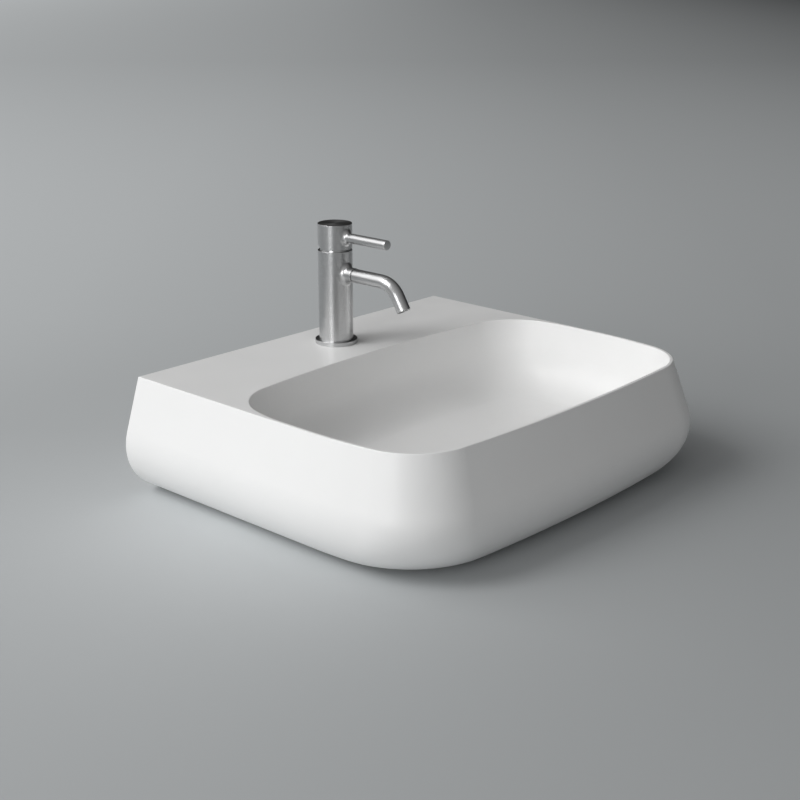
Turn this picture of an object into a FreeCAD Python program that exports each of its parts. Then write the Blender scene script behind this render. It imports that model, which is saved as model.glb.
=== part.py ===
import FreeCAD, Part

import math
import os

from FreeCAD import Placement, Rotation, Vector

# Washbasin with a deck-mounted mixer tap and a click waste.
# Millimetres, with the origin at the middle of the footprint, under the foot.
# +X is to the right, +Y is the wall side and +Z is up.

# Shared values
OVERRUN = 5.0
FIT_CLEARANCE = 0.05
SLIDE_CLEARANCE = 0.15

# Basin: overall size and the outline of its outer skin
BASIN_WIDTH = 600.0
BASIN_DEPTH = 490.0
BASIN_HEIGHT = 150.0
WALL_LEAN_DEG = 18.35
LOWER_CURVE_RADIUS = 64.25
WIDEST_HEIGHT = 63.8
SIDE_STRAIGHT = 297.0
SIDE_RADIUS = 586.0
FRONT_RADIUS = 2325.0
TOP_CORNER_RADIUS = 79.3
WIDEST_CORNER_RADIUS = 97.6
FOOT_CORNER_RADIUS = 120.0
CURVE_SHARES = (0.0, 0.06, 0.2, 0.36, 0.52, 0.68, 0.84, 0.95, 1.0)

# Basin: thicknesses and holes
WALL_THICKNESS = 11.0
BACK_WALL_THICKNESS = 13.0
DECK_THICKNESS = 13.0
FOOT_WIDTH = 16.0
RIM_EASE = 1.2
WALL_HOLE_RADIUS = 7.0
WALL_HOLE_SPACING = 280.0
WALL_HOLE_HEIGHT = 95.0

# Bowl
BOWL_RIM = 4.2
BOWL_SETBACK = 136.1
BOWL_BACK_RADIUS = 1760.0
BOWL_BACK_CORNER_RADIUS = 77.0
BOWL_BACK_SIDE_RADIUS = 232.5
BOWL_BACK_STRAIGHT = 256.8
BOWL_LEAN_DEG = 10.0
BOWL_FILLET = 60.0
BOWL_DEPTH = 92.5
BOWL_FALL = 2.5
BOWL_WALL = 11.0
BOWL_CURVE_SHARES = (0.0, 0.06, 0.2, 0.4, 0.6, 0.8, 0.94, 1.0)
BOWL_CURVE_END_DEG = 86.0
BOWL_CORNER_SHARE = 0.5
FLOOR_FLAT_SHARE = 0.45

# Waste: places and sizes about its own upright axis
DRAIN_SETBACK = 328.0
DRAIN_HOLE_CLEARANCE = 2.05
DRAIN_BOSS_WALL = 4.0
DRAIN_SEAT_THICKNESS = 15.5
FLANGE_RADIUS = 33.0
FLANGE_CLEARANCE = 1.0
FLANGE_THICKNESS = 3.0
FLANGE_GASKET = 1.5
WASTE_SHOULDER_CLEARANCE = 0.4
WASTE_SHOULDER_DROP = 9.0
THROAT_WALL = 2.1
THROAT_FLARE = 3.5
THROAT_DEPTH = 6.0
TAIL_RADIUS = 20.95
TAIL_WALL = 2.95
TAIL_GROUND = 5.0
TAIL_GROOVE = 1.5
TAIL_GROOVE_DEPTH = 0.8
TAIL_GASKET = 3.0
TAIL_GASKET_LAP = 10.0
SLIP_WASHER = 2.0
SLIP_WASHER_SETBACK = 1.0
BACKNUT_HEIGHT = 8.0
BACKNUT_WALL = 7.05
BRIDGE_HUB_WALL = 3.0
BRIDGE_THICKNESS = 6.0
BRIDGE_ARM = 4.0
BRIDGE_ARMS = 3

# Plug and its click mechanism
PLUG_SETBACK = 1.0
PLUG_EDGE = 2.6
PLUG_CROWN = 2.4
PLUG_REST_GAP = 0.3
PLUG_NECK_RADIUS = 14.0
PLUG_NECK_LENGTH = 8.0
PLUG_SEAL = 3.0
PLUG_SEAL_GAP = 0.3
PLUG_TRAVEL = 9.0
STEM_RADIUS = 2.4
STEM_COLLAR_LAP = 0.4
STEM_COLLAR = 2.0
STEM_TAIL = 3.0
STEM_ENGAGEMENT = 6.0
SLEEVE_CLEARANCE = 0.25
SLEEVE_WALL = 0.75
SLEEVE_HEAD_STEP = 1.5
SLEEVE_FLOOR = 2.0
SLEEVE_LIP = 1.5
SLEEVE_ROOM = 1.65
SPRING_CLEARANCE = 0.4
SPRING_WIRE = 0.8
SPRING_WIRE_SIDES = 8
SPRING_TURNS = 4.5
SPRING_SPANS = 4
SPRING_LENGTH = 7.0

# Tap: body and base
TAP_SETBACK = 69.2
TAP_HOLE_RADIUS = 17.5
TAP_HEIGHT = 160.0
BODY_RADIUS = 22.6
BODY_SHOULDER = 2.1
EDGE_EASE = 0.4
ROSETTE_EDGE = 5.3
ROSETTE_HEIGHT = 5.5
BASE_GASKET = 1.6
BASE_GASKET_SETBACK = 1.9
BASE_GASKET_WIDTH = 3.0
INLET_RADIUS = 4.5
INLET_LENGTH = 14.0
RISER_RADIUS = 2.6
PORT_SIDE = 7.5
PORT_FORWARD = 4.5
OUTLET_RADIUS = 3.0
OUTLET_BACK = 6.5

# Tap: fixing set under the deck
STUD_RADIUS = 4.0
STUD_BACK = 10.0
STUD_EMBED = 12.0
STUD_LENGTH = 62.0
HORSESHOE_LAP = 6.5
HORSESHOE_SLOT = 13.5
HORSESHOE_SLOT_BACK = 2.0
HORSESHOE_GASKET = 3.0
HORSESHOE_PLATE = 2.5
STUD_NUT_WALL = 2.5
STUD_NUT_HEIGHT = 6.5

# Spout
SPOUT_RADIUS = 9.0
SPOUT_WALL = 1.5
SPOUT_RUN = 54.1
SPOUT_BEND_RADIUS = 32.9
SPOUT_BEND_DEG = 58.0
SPOUT_END = 19.9
COLLAR_STEP = 0.6
COLLAR_LENGTH = 6.4
COLLAR_SPIGOT_RADIUS = 7.0
COLLAR_SPIGOT = 8.6
COLLAR_NIPPLE = 8.0
WATERWAY_RADIUS = 4.0
AERATOR_SEAT_WALL = 1.0
AERATOR_DEPTH = 9.0
AERATOR_RECESS = 0.8
AERATOR_WALL = 1.0
AERATOR_LIP = 1.0
AERATOR_INSERT = 5.0
AERATOR_WASHER = 1.5
AERATOR_HOLE_RADIUS = 0.6
AERATOR_RING_SHARES = (0.31, 0.63)
AERATOR_RING_HOLES = 6

# Ceramic cartridge, from its seat upwards
CHAMBER_DEPTH = 21.5
CHAMBER_FLOOR = 1.0
CHAMBER_CLEARANCE = 0.65
CARTRIDGE_RADIUS = 17.0
CARTRIDGE_BASE = 3.0
CARTRIDGE_WALL = 1.4
DISC_THICKNESS = 2.6
DISC_CLEARANCE = 0.1
DISC_TRAVEL_ROOM = 3.3
MIXING_RECESS_RADIUS = 7.2
MIXING_RECESS_BACK = 2.5
MIXING_RECESS_DEPTH = 1.4
CARRIER_THICKNESS = 3.4
CARRIER_HALF_WIDTH = 8.4
CHEEK_REACH = 11.8
CHEEK_HALF_LENGTH = 7.0
CHEEK_LIFT = 0.3
ROTOR_FLANGE = 1.6
ROTOR_FLANGE_CLEARANCE = 1.0
ROTOR_NECK_RADIUS = 11.0
ROTOR_HEIGHT = 12.0
ROTOR_SLOT_CLEARANCE = 0.4
ROTOR_SLOT_HALF_LENGTH = 7.6
HOUSING_SHOULDER = 1.6
HOUSING_NECK_WALL = 2.45
HOUSING_NECK = 10.0
PORT_SEAL = 1.0
PORT_SEAL_WIDTH = 1.6
NUT_RING_HEIGHT = 6.4
NUT_NOTCH = 4.0
NUT_NOTCH_DEPTH = 2.0
NUT_NOTCHES = 4

# Handle: a cap that turns about the tap and tilts on a pin
PIVOT_RISE = 18.5
PIVOT_PIN_RADIUS = 1.5
PIVOT_PIN_RECESS = 0.5
DOME_CLEARANCE = 0.5
DOME_WALL = 1.5
DOME_HEIGHT = 6.0
HANDLE_GAP = 2.8
CAP_HEIGHT = 32.2
CAP_WALL = 2.1
CAP_TOP = 4.0
CAP_BOSS_WALL = 5.0
CAP_BOSS_DROP = 7.0
CAP_RELIEF_DEG = 22.5
LEVER_RADIUS = 6.3
LEVER_RISE = 15.8
LEVER_REACH = 93.3
LEVER_TAIL_RADIUS = 4.0
LEVER_STEM_RADIUS = 4.0
STEM_TOP_DROP = 8.0
STEM_BALL_RADIUS = 1.8
STEM_BALL_RISE = 2.25
STEM_WAIST_RADIUS = 1.2
STEM_CONE = 3.0
GRUB_RADIUS = 2.5
GRUB_LENGTH = 6.0
GRUB_SOCKET_FLATS = 2.5
GRUB_SOCKET_DEPTH = 2.5

# Fits worked out from the sizes above
DRAIN_HOLE_RADIUS = TAIL_RADIUS + DRAIN_HOLE_CLEARANCE
DRAIN_RECESS_RADIUS = FLANGE_RADIUS + FLANGE_CLEARANCE
DRAIN_BOSS_RADIUS = DRAIN_RECESS_RADIUS + DRAIN_BOSS_WALL
WASTE_SHOULDER_RADIUS = DRAIN_HOLE_RADIUS - WASTE_SHOULDER_CLEARANCE
THROAT_RADIUS = WASTE_SHOULDER_RADIUS - THROAT_WALL
THROAT_MOUTH_RADIUS = THROAT_RADIUS + THROAT_FLARE
TAIL_BORE_RADIUS = TAIL_RADIUS - TAIL_WALL
TAIL_GASKET_RADIUS = DRAIN_HOLE_RADIUS + TAIL_GASKET_LAP
SLIP_WASHER_RADIUS = TAIL_GASKET_RADIUS - SLIP_WASHER_SETBACK
BACKNUT_FLATS = 2 * (TAIL_RADIUS + BACKNUT_WALL)
PLUG_RADIUS = FLANGE_RADIUS - PLUG_SETBACK
SPRING_RADIUS = STEM_RADIUS + SPRING_CLEARANCE + SPRING_WIRE / 2
STEM_COLLAR_RADIUS = SPRING_RADIUS + SPRING_WIRE / 2 + STEM_COLLAR_LAP
SLEEVE_BORE_RADIUS = STEM_COLLAR_RADIUS + SLEEVE_CLEARANCE
SLEEVE_TAIL_RADIUS = SLEEVE_BORE_RADIUS + SLEEVE_WALL
SLEEVE_RADIUS = SLEEVE_TAIL_RADIUS + SLEEVE_HEAD_STEP
SLEEVE_HEIGHT = SPRING_LENGTH + STEM_COLLAR + PLUG_TRAVEL + SLIDE_CLEARANCE + SLEEVE_LIP
BRIDGE_HUB_RADIUS = SLEEVE_TAIL_RADIUS + BRIDGE_HUB_WALL
BODY_SPIGOT_RADIUS = BODY_RADIUS - BODY_SHOULDER
ROSETTE_RADIUS = BODY_RADIUS + ROSETTE_EDGE
BASE_GASKET_RADIUS = ROSETTE_RADIUS - BASE_GASKET_SETBACK
HORSESHOE_RADIUS = TAP_HOLE_RADIUS + HORSESHOE_LAP
STUD_NUT_FLATS = 2 * (STUD_RADIUS + STUD_NUT_WALL)
COLLAR_RADIUS = SPOUT_RADIUS + COLLAR_STEP
COLLAR_REACH = BODY_RADIUS + COLLAR_LENGTH
COLLAR_SPIGOT_START = BODY_RADIUS - COLLAR_SPIGOT
SPOUT_BEND_START = COLLAR_REACH + SPOUT_RUN
AERATOR_RADIUS = SPOUT_RADIUS - AERATOR_SEAT_WALL
CHAMBER_RADIUS = CARTRIDGE_RADIUS + CHAMBER_CLEARANCE
FIXED_DISC_RADIUS = CARTRIDGE_RADIUS - CARTRIDGE_WALL - DISC_CLEARANCE
MOVING_DISC_RADIUS = FIXED_DISC_RADIUS - DISC_TRAVEL_ROOM
ROTOR_FLANGE_RADIUS = CARTRIDGE_RADIUS - CARTRIDGE_WALL - ROTOR_FLANGE_CLEARANCE
ROTOR_SLOT_HALF_WIDTH = LEVER_STEM_RADIUS + ROTOR_SLOT_CLEARANCE
HOUSING_NECK_RADIUS = ROTOR_NECK_RADIUS + FIT_CLEARANCE + HOUSING_NECK_WALL
PIVOT_PIN_LENGTH = 2 * (ROTOR_NECK_RADIUS - PIVOT_PIN_RECESS)
CAP_BORE_RADIUS = BODY_RADIUS - CAP_WALL
CAP_BOSS_RADIUS = LEVER_STEM_RADIUS + CAP_BOSS_WALL
DOME_RADIUS = CAP_BORE_RADIUS - DOME_CLEARANCE

# Heights above the deck
BODY_HEIGHT = TAP_HEIGHT - CAP_HEIGHT - HANDLE_GAP
SEAT_HEIGHT = BODY_HEIGHT - CHAMBER_DEPTH
SPOUT_HEIGHT = SEAT_HEIGHT - CHAMBER_FLOOR - COLLAR_SPIGOT_RADIUS
PIVOT_HEIGHT = SEAT_HEIGHT + PIVOT_RISE
LEVER_HEIGHT = TAP_HEIGHT - CAP_HEIGHT + LEVER_RISE
LEVER_STEM_TOP = TAP_HEIGHT - STEM_TOP_DROP

# Places worked out from the sizes above
BACK_Y = BASIN_DEPTH / 2
DECK_Z = BASIN_HEIGHT
LEAN = math.radians(WALL_LEAN_DEG)
CURVE_CENTRE = ((BASIN_HEIGHT - WIDEST_HEIGHT) * math.sin(LEAN) - LOWER_CURVE_RADIUS) / math.cos(LEAN)
OVERHANG = CURVE_CENTRE + LOWER_CURVE_RADIUS
FOOT_ANGLE = math.asin(WIDEST_HEIGHT / LOWER_CURVE_RADIUS)
TOP_HALF_WIDTH = BASIN_WIDTH / 2 - OVERHANG
TOP_FRONT_Y = -BASIN_DEPTH / 2 + OVERHANG
SIDE_ARC_Y = BACK_Y - SIDE_STRAIGHT

DRAIN_Y = BACK_Y - DRAIN_SETBACK
FLOOR_Z = DECK_Z - BOWL_DEPTH - BOWL_FALL
SEAT_Z = FLOOR_Z - FLANGE_THICKNESS - FLANGE_GASKET
SEAT_UNDER_Z = SEAT_Z - DRAIN_SEAT_THICKNESS
BACKNUT_TOP_Z = SEAT_UNDER_Z - TAIL_GASKET - SLIP_WASHER
PLUG_Z = FLOOR_Z + PLUG_REST_GAP
SPRING_Z = PLUG_Z - PLUG_NECK_LENGTH - SLEEVE_ROOM - SLEEVE_HEIGHT
BRIDGE_Z = SPRING_Z + SLEEVE_FLOOR

TAP_Y = BACK_Y - TAP_SETBACK
BODY_TOP_Z = DECK_Z + BODY_HEIGHT
CAP_Z = BODY_TOP_Z + HANDLE_GAP
CAP_TOP_Z = DECK_Z + TAP_HEIGHT
PIVOT_Z = DECK_Z + PIVOT_HEIGHT
LEVER_Z = DECK_Z + LEVER_HEIGHT
SPOUT_Z = DECK_Z + SPOUT_HEIGHT
CARTRIDGE_Z = DECK_Z + SEAT_HEIGHT
FIXED_DISC_Z = CARTRIDGE_Z + CARTRIDGE_BASE
MOVING_DISC_Z = FIXED_DISC_Z + DISC_THICKNESS + FIT_CLEARANCE
CARRIER_Z = MOVING_DISC_Z + DISC_THICKNESS
ROTOR_Z = CARRIER_Z + CARRIER_THICKNESS + FIT_CLEARANCE
SHOULDER_Z = ROTOR_Z + ROTOR_FLANGE + FIT_CLEARANCE
NUT_Z = SHOULDER_Z + HOUSING_SHOULDER
STEM_BALL_Z = CARRIER_Z + STEM_BALL_RISE
STEM_TOP_Z = DECK_Z + LEVER_STEM_TOP


# Drawing helpers

def drum(radius, bottom, height, x=0.0, y=0.0):
    """Upright cylinder standing on the level called bottom."""
    return Part.makeCylinder(radius, height, Vector(x, y, bottom))


def ring(outer, inner, bottom, height, x=0.0, y=0.0):
    """Upright ring with a plain bore."""
    bore = drum(inner, bottom - OVERRUN, height + 2 * OVERRUN, x, y)
    return drum(outer, bottom, height, x, y).cut(bore)


def rod_to_front(radius, start, end, height):
    """Level cylinder that runs from the tap's axis towards the front, between two distances from the axis."""
    return Part.makeCylinder(radius, end - start, Vector(0, TAP_Y - start, height), Vector(0, -1, 0))


def block(x_low, x_high, y_low, y_high, z_low, z_high):
    """Box between two corners."""
    return Part.makeBox(x_high - x_low, y_high - y_low, z_high - z_low, Vector(x_low, y_low, z_low))


def hex_bar(across_flats, bottom, height, x=0.0, y=0.0):
    """Upright six-sided bar."""
    reach = across_flats / 2 / math.cos(math.pi / 6)
    corners = []
    for step in range(7):
        angle = step * math.pi / 3
        corners.append(Vector(x + reach * math.cos(angle), y + reach * math.sin(angle), bottom))
    return Part.Face(Part.makePolygon(corners)).extrude(Vector(0, 0, height))


def turned(points, x=0.0, y=0.0):
    """Solid of revolution about an upright axis, from radius and height pairs."""
    corners = [Vector(x + radius, y, height) for radius, height in points]
    face = Part.Face(Part.makePolygon(corners + corners[:1]))
    return face.revolve(Vector(x, y, 0), Vector(0, 0, 1), 360)


def fused(solids):
    """One solid from several that meet."""
    whole = solids[0]
    for solid in solids[1:]:
        whole = whole.fuse(solid)
    return whole.removeSplitter()


def eased(solid, heights, ease):
    """Solid with the level edges at the given heights rounded over."""
    edges = []
    for edge in solid.Edges:
        box = edge.BoundBox
        level = box.ZLength < FIT_CLEARANCE
        if level and any(abs(box.ZMin - height) < FIT_CLEARANCE for height in heights):
            edges.append(edge)
    return solid.makeFillet(ease, edges)


# Basin outlines

def mirrored(point):
    """The point on the other side of the middle plane."""
    return Vector(-point.x, point.y, point.z)


def arc_middle(centre, first, last, radius):
    """Point half-way along the arc between two points on it."""
    toward = (first - centre).normalize() + (last - centre).normalize()
    return centre + toward.normalize() * radius


def rounded_end(half_width, start, apex, side_radius, corner_radius, end_radius, height):
    """Edges of one rounded end, from its right start round the apex to its left start.

    Each half is a side arc, a corner arc and half of the bowed end arc, all tangent to each other.
    """
    turn = math.copysign(1, apex - start)
    side_centre = Vector(half_width - side_radius, 0, 0)
    end_centre = Vector(0, abs(apex - start) - end_radius, 0)
    span = end_centre - side_centre
    side_gap = side_radius - corner_radius
    end_gap = end_radius - corner_radius
    along = (side_gap ** 2 - end_gap ** 2 + span.Length ** 2) / (2 * span.Length)
    across = math.sqrt(side_gap ** 2 - along ** 2)
    unit = Vector(span).normalize()
    corner_centre = side_centre + unit * along + Vector(-unit.y, unit.x, 0) * across
    side_point = side_centre + (corner_centre - side_centre).normalize() * side_radius
    end_point = end_centre + (corner_centre - end_centre).normalize() * end_radius
    first = Vector(half_width, 0, 0)
    plan = [
        first,
        arc_middle(side_centre, first, side_point, side_radius),
        side_point,
        arc_middle(corner_centre, side_point, end_point, corner_radius),
        end_point,
    ]
    right = [Vector(point.x, start + turn * point.y, height) for point in plan]
    left = [mirrored(point) for point in right]
    return [
        Part.Arc(right[0], right[1], right[2]).toShape(),
        Part.Arc(right[2], right[3], right[4]).toShape(),
        Part.Arc(right[4], Vector(0, apex, height), left[4]).toShape(),
        Part.Arc(left[4], left[3], left[2]).toShape(),
        Part.Arc(left[2], left[1], left[0]).toShape(),
    ]


def line(first, last):
    """Straight edge."""
    return Part.LineSegment(first, last).toShape()


def skin_outline(offset, corner_radius, height, back):
    """Outline of the basin at one level, standing off the top outline by offset, square at the back."""
    half_width = TOP_HALF_WIDTH + offset
    end = rounded_end(half_width, SIDE_ARC_Y, TOP_FRONT_Y - offset, SIDE_RADIUS + offset, corner_radius,
                      FRONT_RADIUS + offset, height)
    right_back = Vector(half_width, back, height)
    right_side = Vector(half_width, SIDE_ARC_Y, height)
    edges = [line(right_back, right_side)]
    edges += end
    edges.append(line(mirrored(right_side), mirrored(right_back)))
    edges.append(line(mirrored(right_back), right_back))
    return Part.Wire(edges)


def skin_levels(inset):
    """Offset, corner radius and height of the wall's levels: the leaning stretch, then the lower curve."""
    radius = LOWER_CURVE_RADIUS - inset
    rim = (-inset / math.cos(LEAN), BASIN_HEIGHT)
    curve = []
    for share in CURVE_SHARES:
        angle = LEAN - share * (LEAN + FOOT_ANGLE)
        curve.append((CURVE_CENTRE + radius * math.cos(angle), WIDEST_HEIGHT + radius * math.sin(angle)))
    stretches = []
    for stretch in ([rim, curve[0]], curve):
        stretches.append([(offset, corner_radius_at(height) - inset, height) for offset, height in stretch])
    return stretches


def corner_radius_at(height):
    """Radius of the outer corner, which grows from the rim down to the foot."""
    if height > WIDEST_HEIGHT:
        share = (BASIN_HEIGHT - height) / (BASIN_HEIGHT - WIDEST_HEIGHT)
        return TOP_CORNER_RADIUS + share * (WIDEST_CORNER_RADIUS - TOP_CORNER_RADIUS)
    share = math.asin((WIDEST_HEIGHT - height) / LOWER_CURVE_RADIUS) / FOOT_ANGLE
    return WIDEST_CORNER_RADIUS + share * (FOOT_CORNER_RADIUS - WIDEST_CORNER_RADIUS)


def skin(inset, back):
    """Solid inside the wall's surface, or inside a surface set in from it."""
    leaning, curved = [
        [skin_outline(offset, corner, height, back) for offset, corner, height in stretch]
        for stretch in skin_levels(inset)
    ]
    return fused([Part.makeLoft(leaning, True, True), Part.makeLoft(curved, True, False)])


def bowl_outline(inset, height, scale_share):
    """Outline of the bowl at one level, set in from its rim and then drawn in towards the drain."""
    def drawn(y):
        return DRAIN_Y + (y - DRAIN_Y) * scale_share
    kept = BOWL_CORNER_SHARE * inset
    half_width = (TOP_HALF_WIDTH - BOWL_RIM - inset) * scale_share
    front_start = drawn(SIDE_ARC_Y)
    back_start = drawn(BACK_Y - BOWL_BACK_STRAIGHT)
    front = rounded_end(half_width, front_start, drawn(TOP_FRONT_Y + BOWL_RIM + inset),
                        (SIDE_RADIUS - BOWL_RIM - inset) * scale_share,
                        (TOP_CORNER_RADIUS - BOWL_RIM - kept) * scale_share,
                        (FRONT_RADIUS - BOWL_RIM - inset) * scale_share, height)
    back = rounded_end(half_width, back_start, drawn(BACK_Y - BOWL_SETBACK - inset),
                       (BOWL_BACK_SIDE_RADIUS - inset) * scale_share,
                       (BOWL_BACK_CORNER_RADIUS - kept) * scale_share,
                       (BOWL_BACK_RADIUS - inset) * scale_share, height)
    right_front = Vector(half_width, front_start, height)
    right_back = Vector(half_width, back_start, height)
    edges = [line(right_back, right_front)]
    edges += front
    edges.append(line(mirrored(right_front), mirrored(right_back)))
    edges += back[::-1]
    return Part.Wire(edges)


def bowl_levels(shell):
    """Inset and depth of the bowl's levels: the wall, then the curve into the floor.

    A shell of zero gives the inside, and any other gives the underside of a shell that thick.
    """
    lean = math.radians(BOWL_LEAN_DEG)
    centre_depth = BOWL_DEPTH - BOWL_FILLET
    centre_inset = centre_depth * math.tan(lean) + BOWL_FILLET / math.cos(lean)
    radius = BOWL_FILLET + shell
    over_rim = (-OVERRUN * math.tan(lean) - shell / math.cos(lean), -OVERRUN)
    curve = []
    for share in BOWL_CURVE_SHARES:
        angle = lean + share * (math.radians(BOWL_CURVE_END_DEG) - lean)
        curve.append((centre_inset - radius * math.cos(angle), centre_depth + radius * math.sin(angle)))
    return [over_rim, curve[0]], curve


def bowl(shell):
    """Solid that fills the bowl up past the rim, or that fills its shell too."""
    wall, curve = bowl_levels(shell)
    wall_wires = [bowl_outline(inset, DECK_Z - depth, 1) for inset, depth in wall]
    curve_wires = [bowl_outline(inset, DECK_Z - depth, 1) for inset, depth in curve]
    floor_inset = curve[-1][0]
    floor_depth = BOWL_DEPTH + BOWL_FALL + shell
    floor_wires = [curve_wires[-1], bowl_outline(floor_inset, DECK_Z - floor_depth, FLOOR_FLAT_SHARE)]
    return fused([
        Part.makeLoft(wall_wires, True, True),
        Part.makeLoft(curve_wires, True, False),
        Part.makeLoft(floor_wires, True, True),
    ])


# Basin

def basin_hollow():
    """The open space under the deck and round the bowl, down through the foot."""
    inside = skin(WALL_THICKNESS, BACK_Y - BACK_WALL_THICKNESS)
    span = BASIN_WIDTH
    under_deck = block(-span, span, -span, span, -OVERRUN, DECK_Z - DECK_THICKNESS)
    foot_offset, foot_corner = skin_levels(0)[-1][-1][:2]
    opening = skin_outline(foot_offset - FOOT_WIDTH, foot_corner - FOOT_WIDTH, -OVERRUN,
                           BACK_Y - BACK_WALL_THICKNESS)
    opening = Part.Face(opening).extrude(Vector(0, 0, WIDEST_HEIGHT))
    boss = drum(DRAIN_BOSS_RADIUS, SEAT_UNDER_Z, DECK_Z - SEAT_UNDER_Z, y=DRAIN_Y)
    return inside.common(under_deck).fuse(opening).cut(bowl(BOWL_WALL)).cut(boss)


def make_basin():
    """One ceramic casting: skin, deck, bowl, drain seat and an open hollow underneath."""
    span = BASIN_WIDTH
    behind = block(-span, span, BACK_Y, BACK_Y + span, -span, span)
    body = skin(0, BACK_Y + OVERRUN).cut(behind)
    body = body.cut(basin_hollow())
    body = eased(body.cut(bowl(0)), [DECK_Z], RIM_EASE)
    through_deck = DECK_THICKNESS + 2 * OVERRUN
    body = body.cut(drum(TAP_HOLE_RADIUS, DECK_Z - DECK_THICKNESS - OVERRUN, through_deck, y=TAP_Y))
    body = body.cut(drum(DRAIN_RECESS_RADIUS, SEAT_Z, FLOOR_Z + OVERRUN - SEAT_Z, y=DRAIN_Y))
    through_seat = DRAIN_SEAT_THICKNESS + 2 * OVERRUN
    body = body.cut(drum(DRAIN_HOLE_RADIUS, SEAT_UNDER_Z - OVERRUN, through_seat, y=DRAIN_Y))
    for side in (-1, 1):
        mouth = Vector(side * WALL_HOLE_SPACING / 2, BACK_Y + OVERRUN, WALL_HOLE_HEIGHT)
        depth = BACK_WALL_THICKNESS + 2 * OVERRUN
        body = body.cut(Part.makeCylinder(WALL_HOLE_RADIUS, depth, mouth, Vector(0, -1, 0)))
    return body


# Waste and plug

def make_waste_body():
    """Flange, throat and tail in one turning, with an armed bridge across the bore."""
    shoulder_z = FLOOR_Z - FLANGE_THICKNESS - WASTE_SHOULDER_DROP
    ledge_z = FLOOR_Z - THROAT_DEPTH
    flange_z = FLOOR_Z - FLANGE_THICKNESS
    groove_z = BACKNUT_TOP_Z - BACKNUT_HEIGHT
    groove_radius = TAIL_RADIUS - TAIL_GROOVE_DEPTH
    turning = turned([
        (TAIL_BORE_RADIUS, TAIL_GROUND),
        (TAIL_RADIUS, TAIL_GROUND),
        (TAIL_RADIUS, groove_z - TAIL_GROOVE),
        (groove_radius, groove_z - TAIL_GROOVE),
        (groove_radius, groove_z),
        (TAIL_RADIUS, groove_z),
        (TAIL_RADIUS, shoulder_z),
        (WASTE_SHOULDER_RADIUS, shoulder_z),
        (WASTE_SHOULDER_RADIUS, flange_z),
        (FLANGE_RADIUS, flange_z),
        (FLANGE_RADIUS, FLOOR_Z),
        (THROAT_MOUTH_RADIUS, FLOOR_Z),
        (THROAT_RADIUS, flange_z),
        (THROAT_RADIUS, ledge_z),
        (TAIL_BORE_RADIUS, ledge_z),
    ], y=DRAIN_Y)
    pieces = [turning, drum(BRIDGE_HUB_RADIUS, BRIDGE_Z, BRIDGE_THICKNESS, y=DRAIN_Y)]
    reach = (TAIL_BORE_RADIUS + TAIL_RADIUS) / 2
    half_arm = BRIDGE_ARM / 2
    for step in range(BRIDGE_ARMS):
        arm = block(0, reach, DRAIN_Y - half_arm, DRAIN_Y + half_arm, BRIDGE_Z, BRIDGE_Z + BRIDGE_THICKNESS)
        arm.rotate(Vector(0, DRAIN_Y, 0), Vector(0, 0, 1), step * 360 / BRIDGE_ARMS)
        pieces.append(arm)
    hub_hole = drum(SLEEVE_TAIL_RADIUS, BRIDGE_Z - OVERRUN, BRIDGE_THICKNESS + 2 * OVERRUN, y=DRAIN_Y)
    return fused(pieces).cut(hub_hole)


def make_flange_gasket():
    """Soft ring between the flange and the recess in the bowl's floor."""
    return ring(FLANGE_RADIUS, DRAIN_HOLE_RADIUS, SEAT_Z, FLANGE_GASKET, y=DRAIN_Y)


def make_tail_gasket():
    """Rubber ring pressed up against the ceramic from below."""
    return ring(TAIL_GASKET_RADIUS, TAIL_RADIUS, SEAT_UNDER_Z - TAIL_GASKET, TAIL_GASKET, y=DRAIN_Y)


def make_slip_washer():
    """Thin washer that lets the backnut turn without dragging the rubber."""
    return ring(SLIP_WASHER_RADIUS, TAIL_RADIUS, BACKNUT_TOP_Z, SLIP_WASHER, y=DRAIN_Y)


def make_backnut():
    """Six-sided nut on the waste's tail."""
    bottom = BACKNUT_TOP_Z - BACKNUT_HEIGHT
    bore = drum(TAIL_RADIUS, bottom - OVERRUN, BACKNUT_HEIGHT + 2 * OVERRUN, y=DRAIN_Y)
    return hex_bar(BACKNUT_FLATS, bottom, BACKNUT_HEIGHT, y=DRAIN_Y).cut(bore)


def make_plug_cap():
    """Crowned cap over the flange, with a neck that carries the seal and takes the stem."""
    rise = PLUG_Z + PLUG_EDGE
    sphere_radius = (PLUG_RADIUS ** 2 + PLUG_CROWN ** 2) / (2 * PLUG_CROWN)
    crown = Part.makeSphere(sphere_radius, Vector(0, DRAIN_Y, rise + PLUG_CROWN - sphere_radius))
    disc = drum(PLUG_RADIUS, PLUG_Z, PLUG_EDGE + PLUG_CROWN, y=DRAIN_Y).common(crown)
    neck = drum(PLUG_NECK_RADIUS, PLUG_Z - PLUG_NECK_LENGTH, PLUG_NECK_LENGTH, y=DRAIN_Y)
    bottom = PLUG_Z - PLUG_NECK_LENGTH
    socket = drum(STEM_RADIUS, bottom - OVERRUN, STEM_ENGAGEMENT + OVERRUN, y=DRAIN_Y)
    return fused([disc, neck]).cut(socket)


def make_plug_seal():
    """Rubber ring on the plug's neck, which closes on the ledge of the throat."""
    bottom = FLOOR_Z - THROAT_DEPTH + FIT_CLEARANCE
    return ring(THROAT_RADIUS - PLUG_SEAL_GAP, PLUG_NECK_RADIUS, bottom, PLUG_SEAL, y=DRAIN_Y)


def make_plug_stem():
    """Push rod under the plug, with a collar that the spring bears on."""
    top = PLUG_Z - PLUG_NECK_LENGTH + STEM_ENGAGEMENT
    collar_z = SPRING_Z + SPRING_LENGTH
    rod = drum(STEM_RADIUS, collar_z - STEM_TAIL, top - collar_z + STEM_TAIL, y=DRAIN_Y)
    return fused([rod, drum(STEM_COLLAR_RADIUS, collar_z, STEM_COLLAR, y=DRAIN_Y)])


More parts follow.
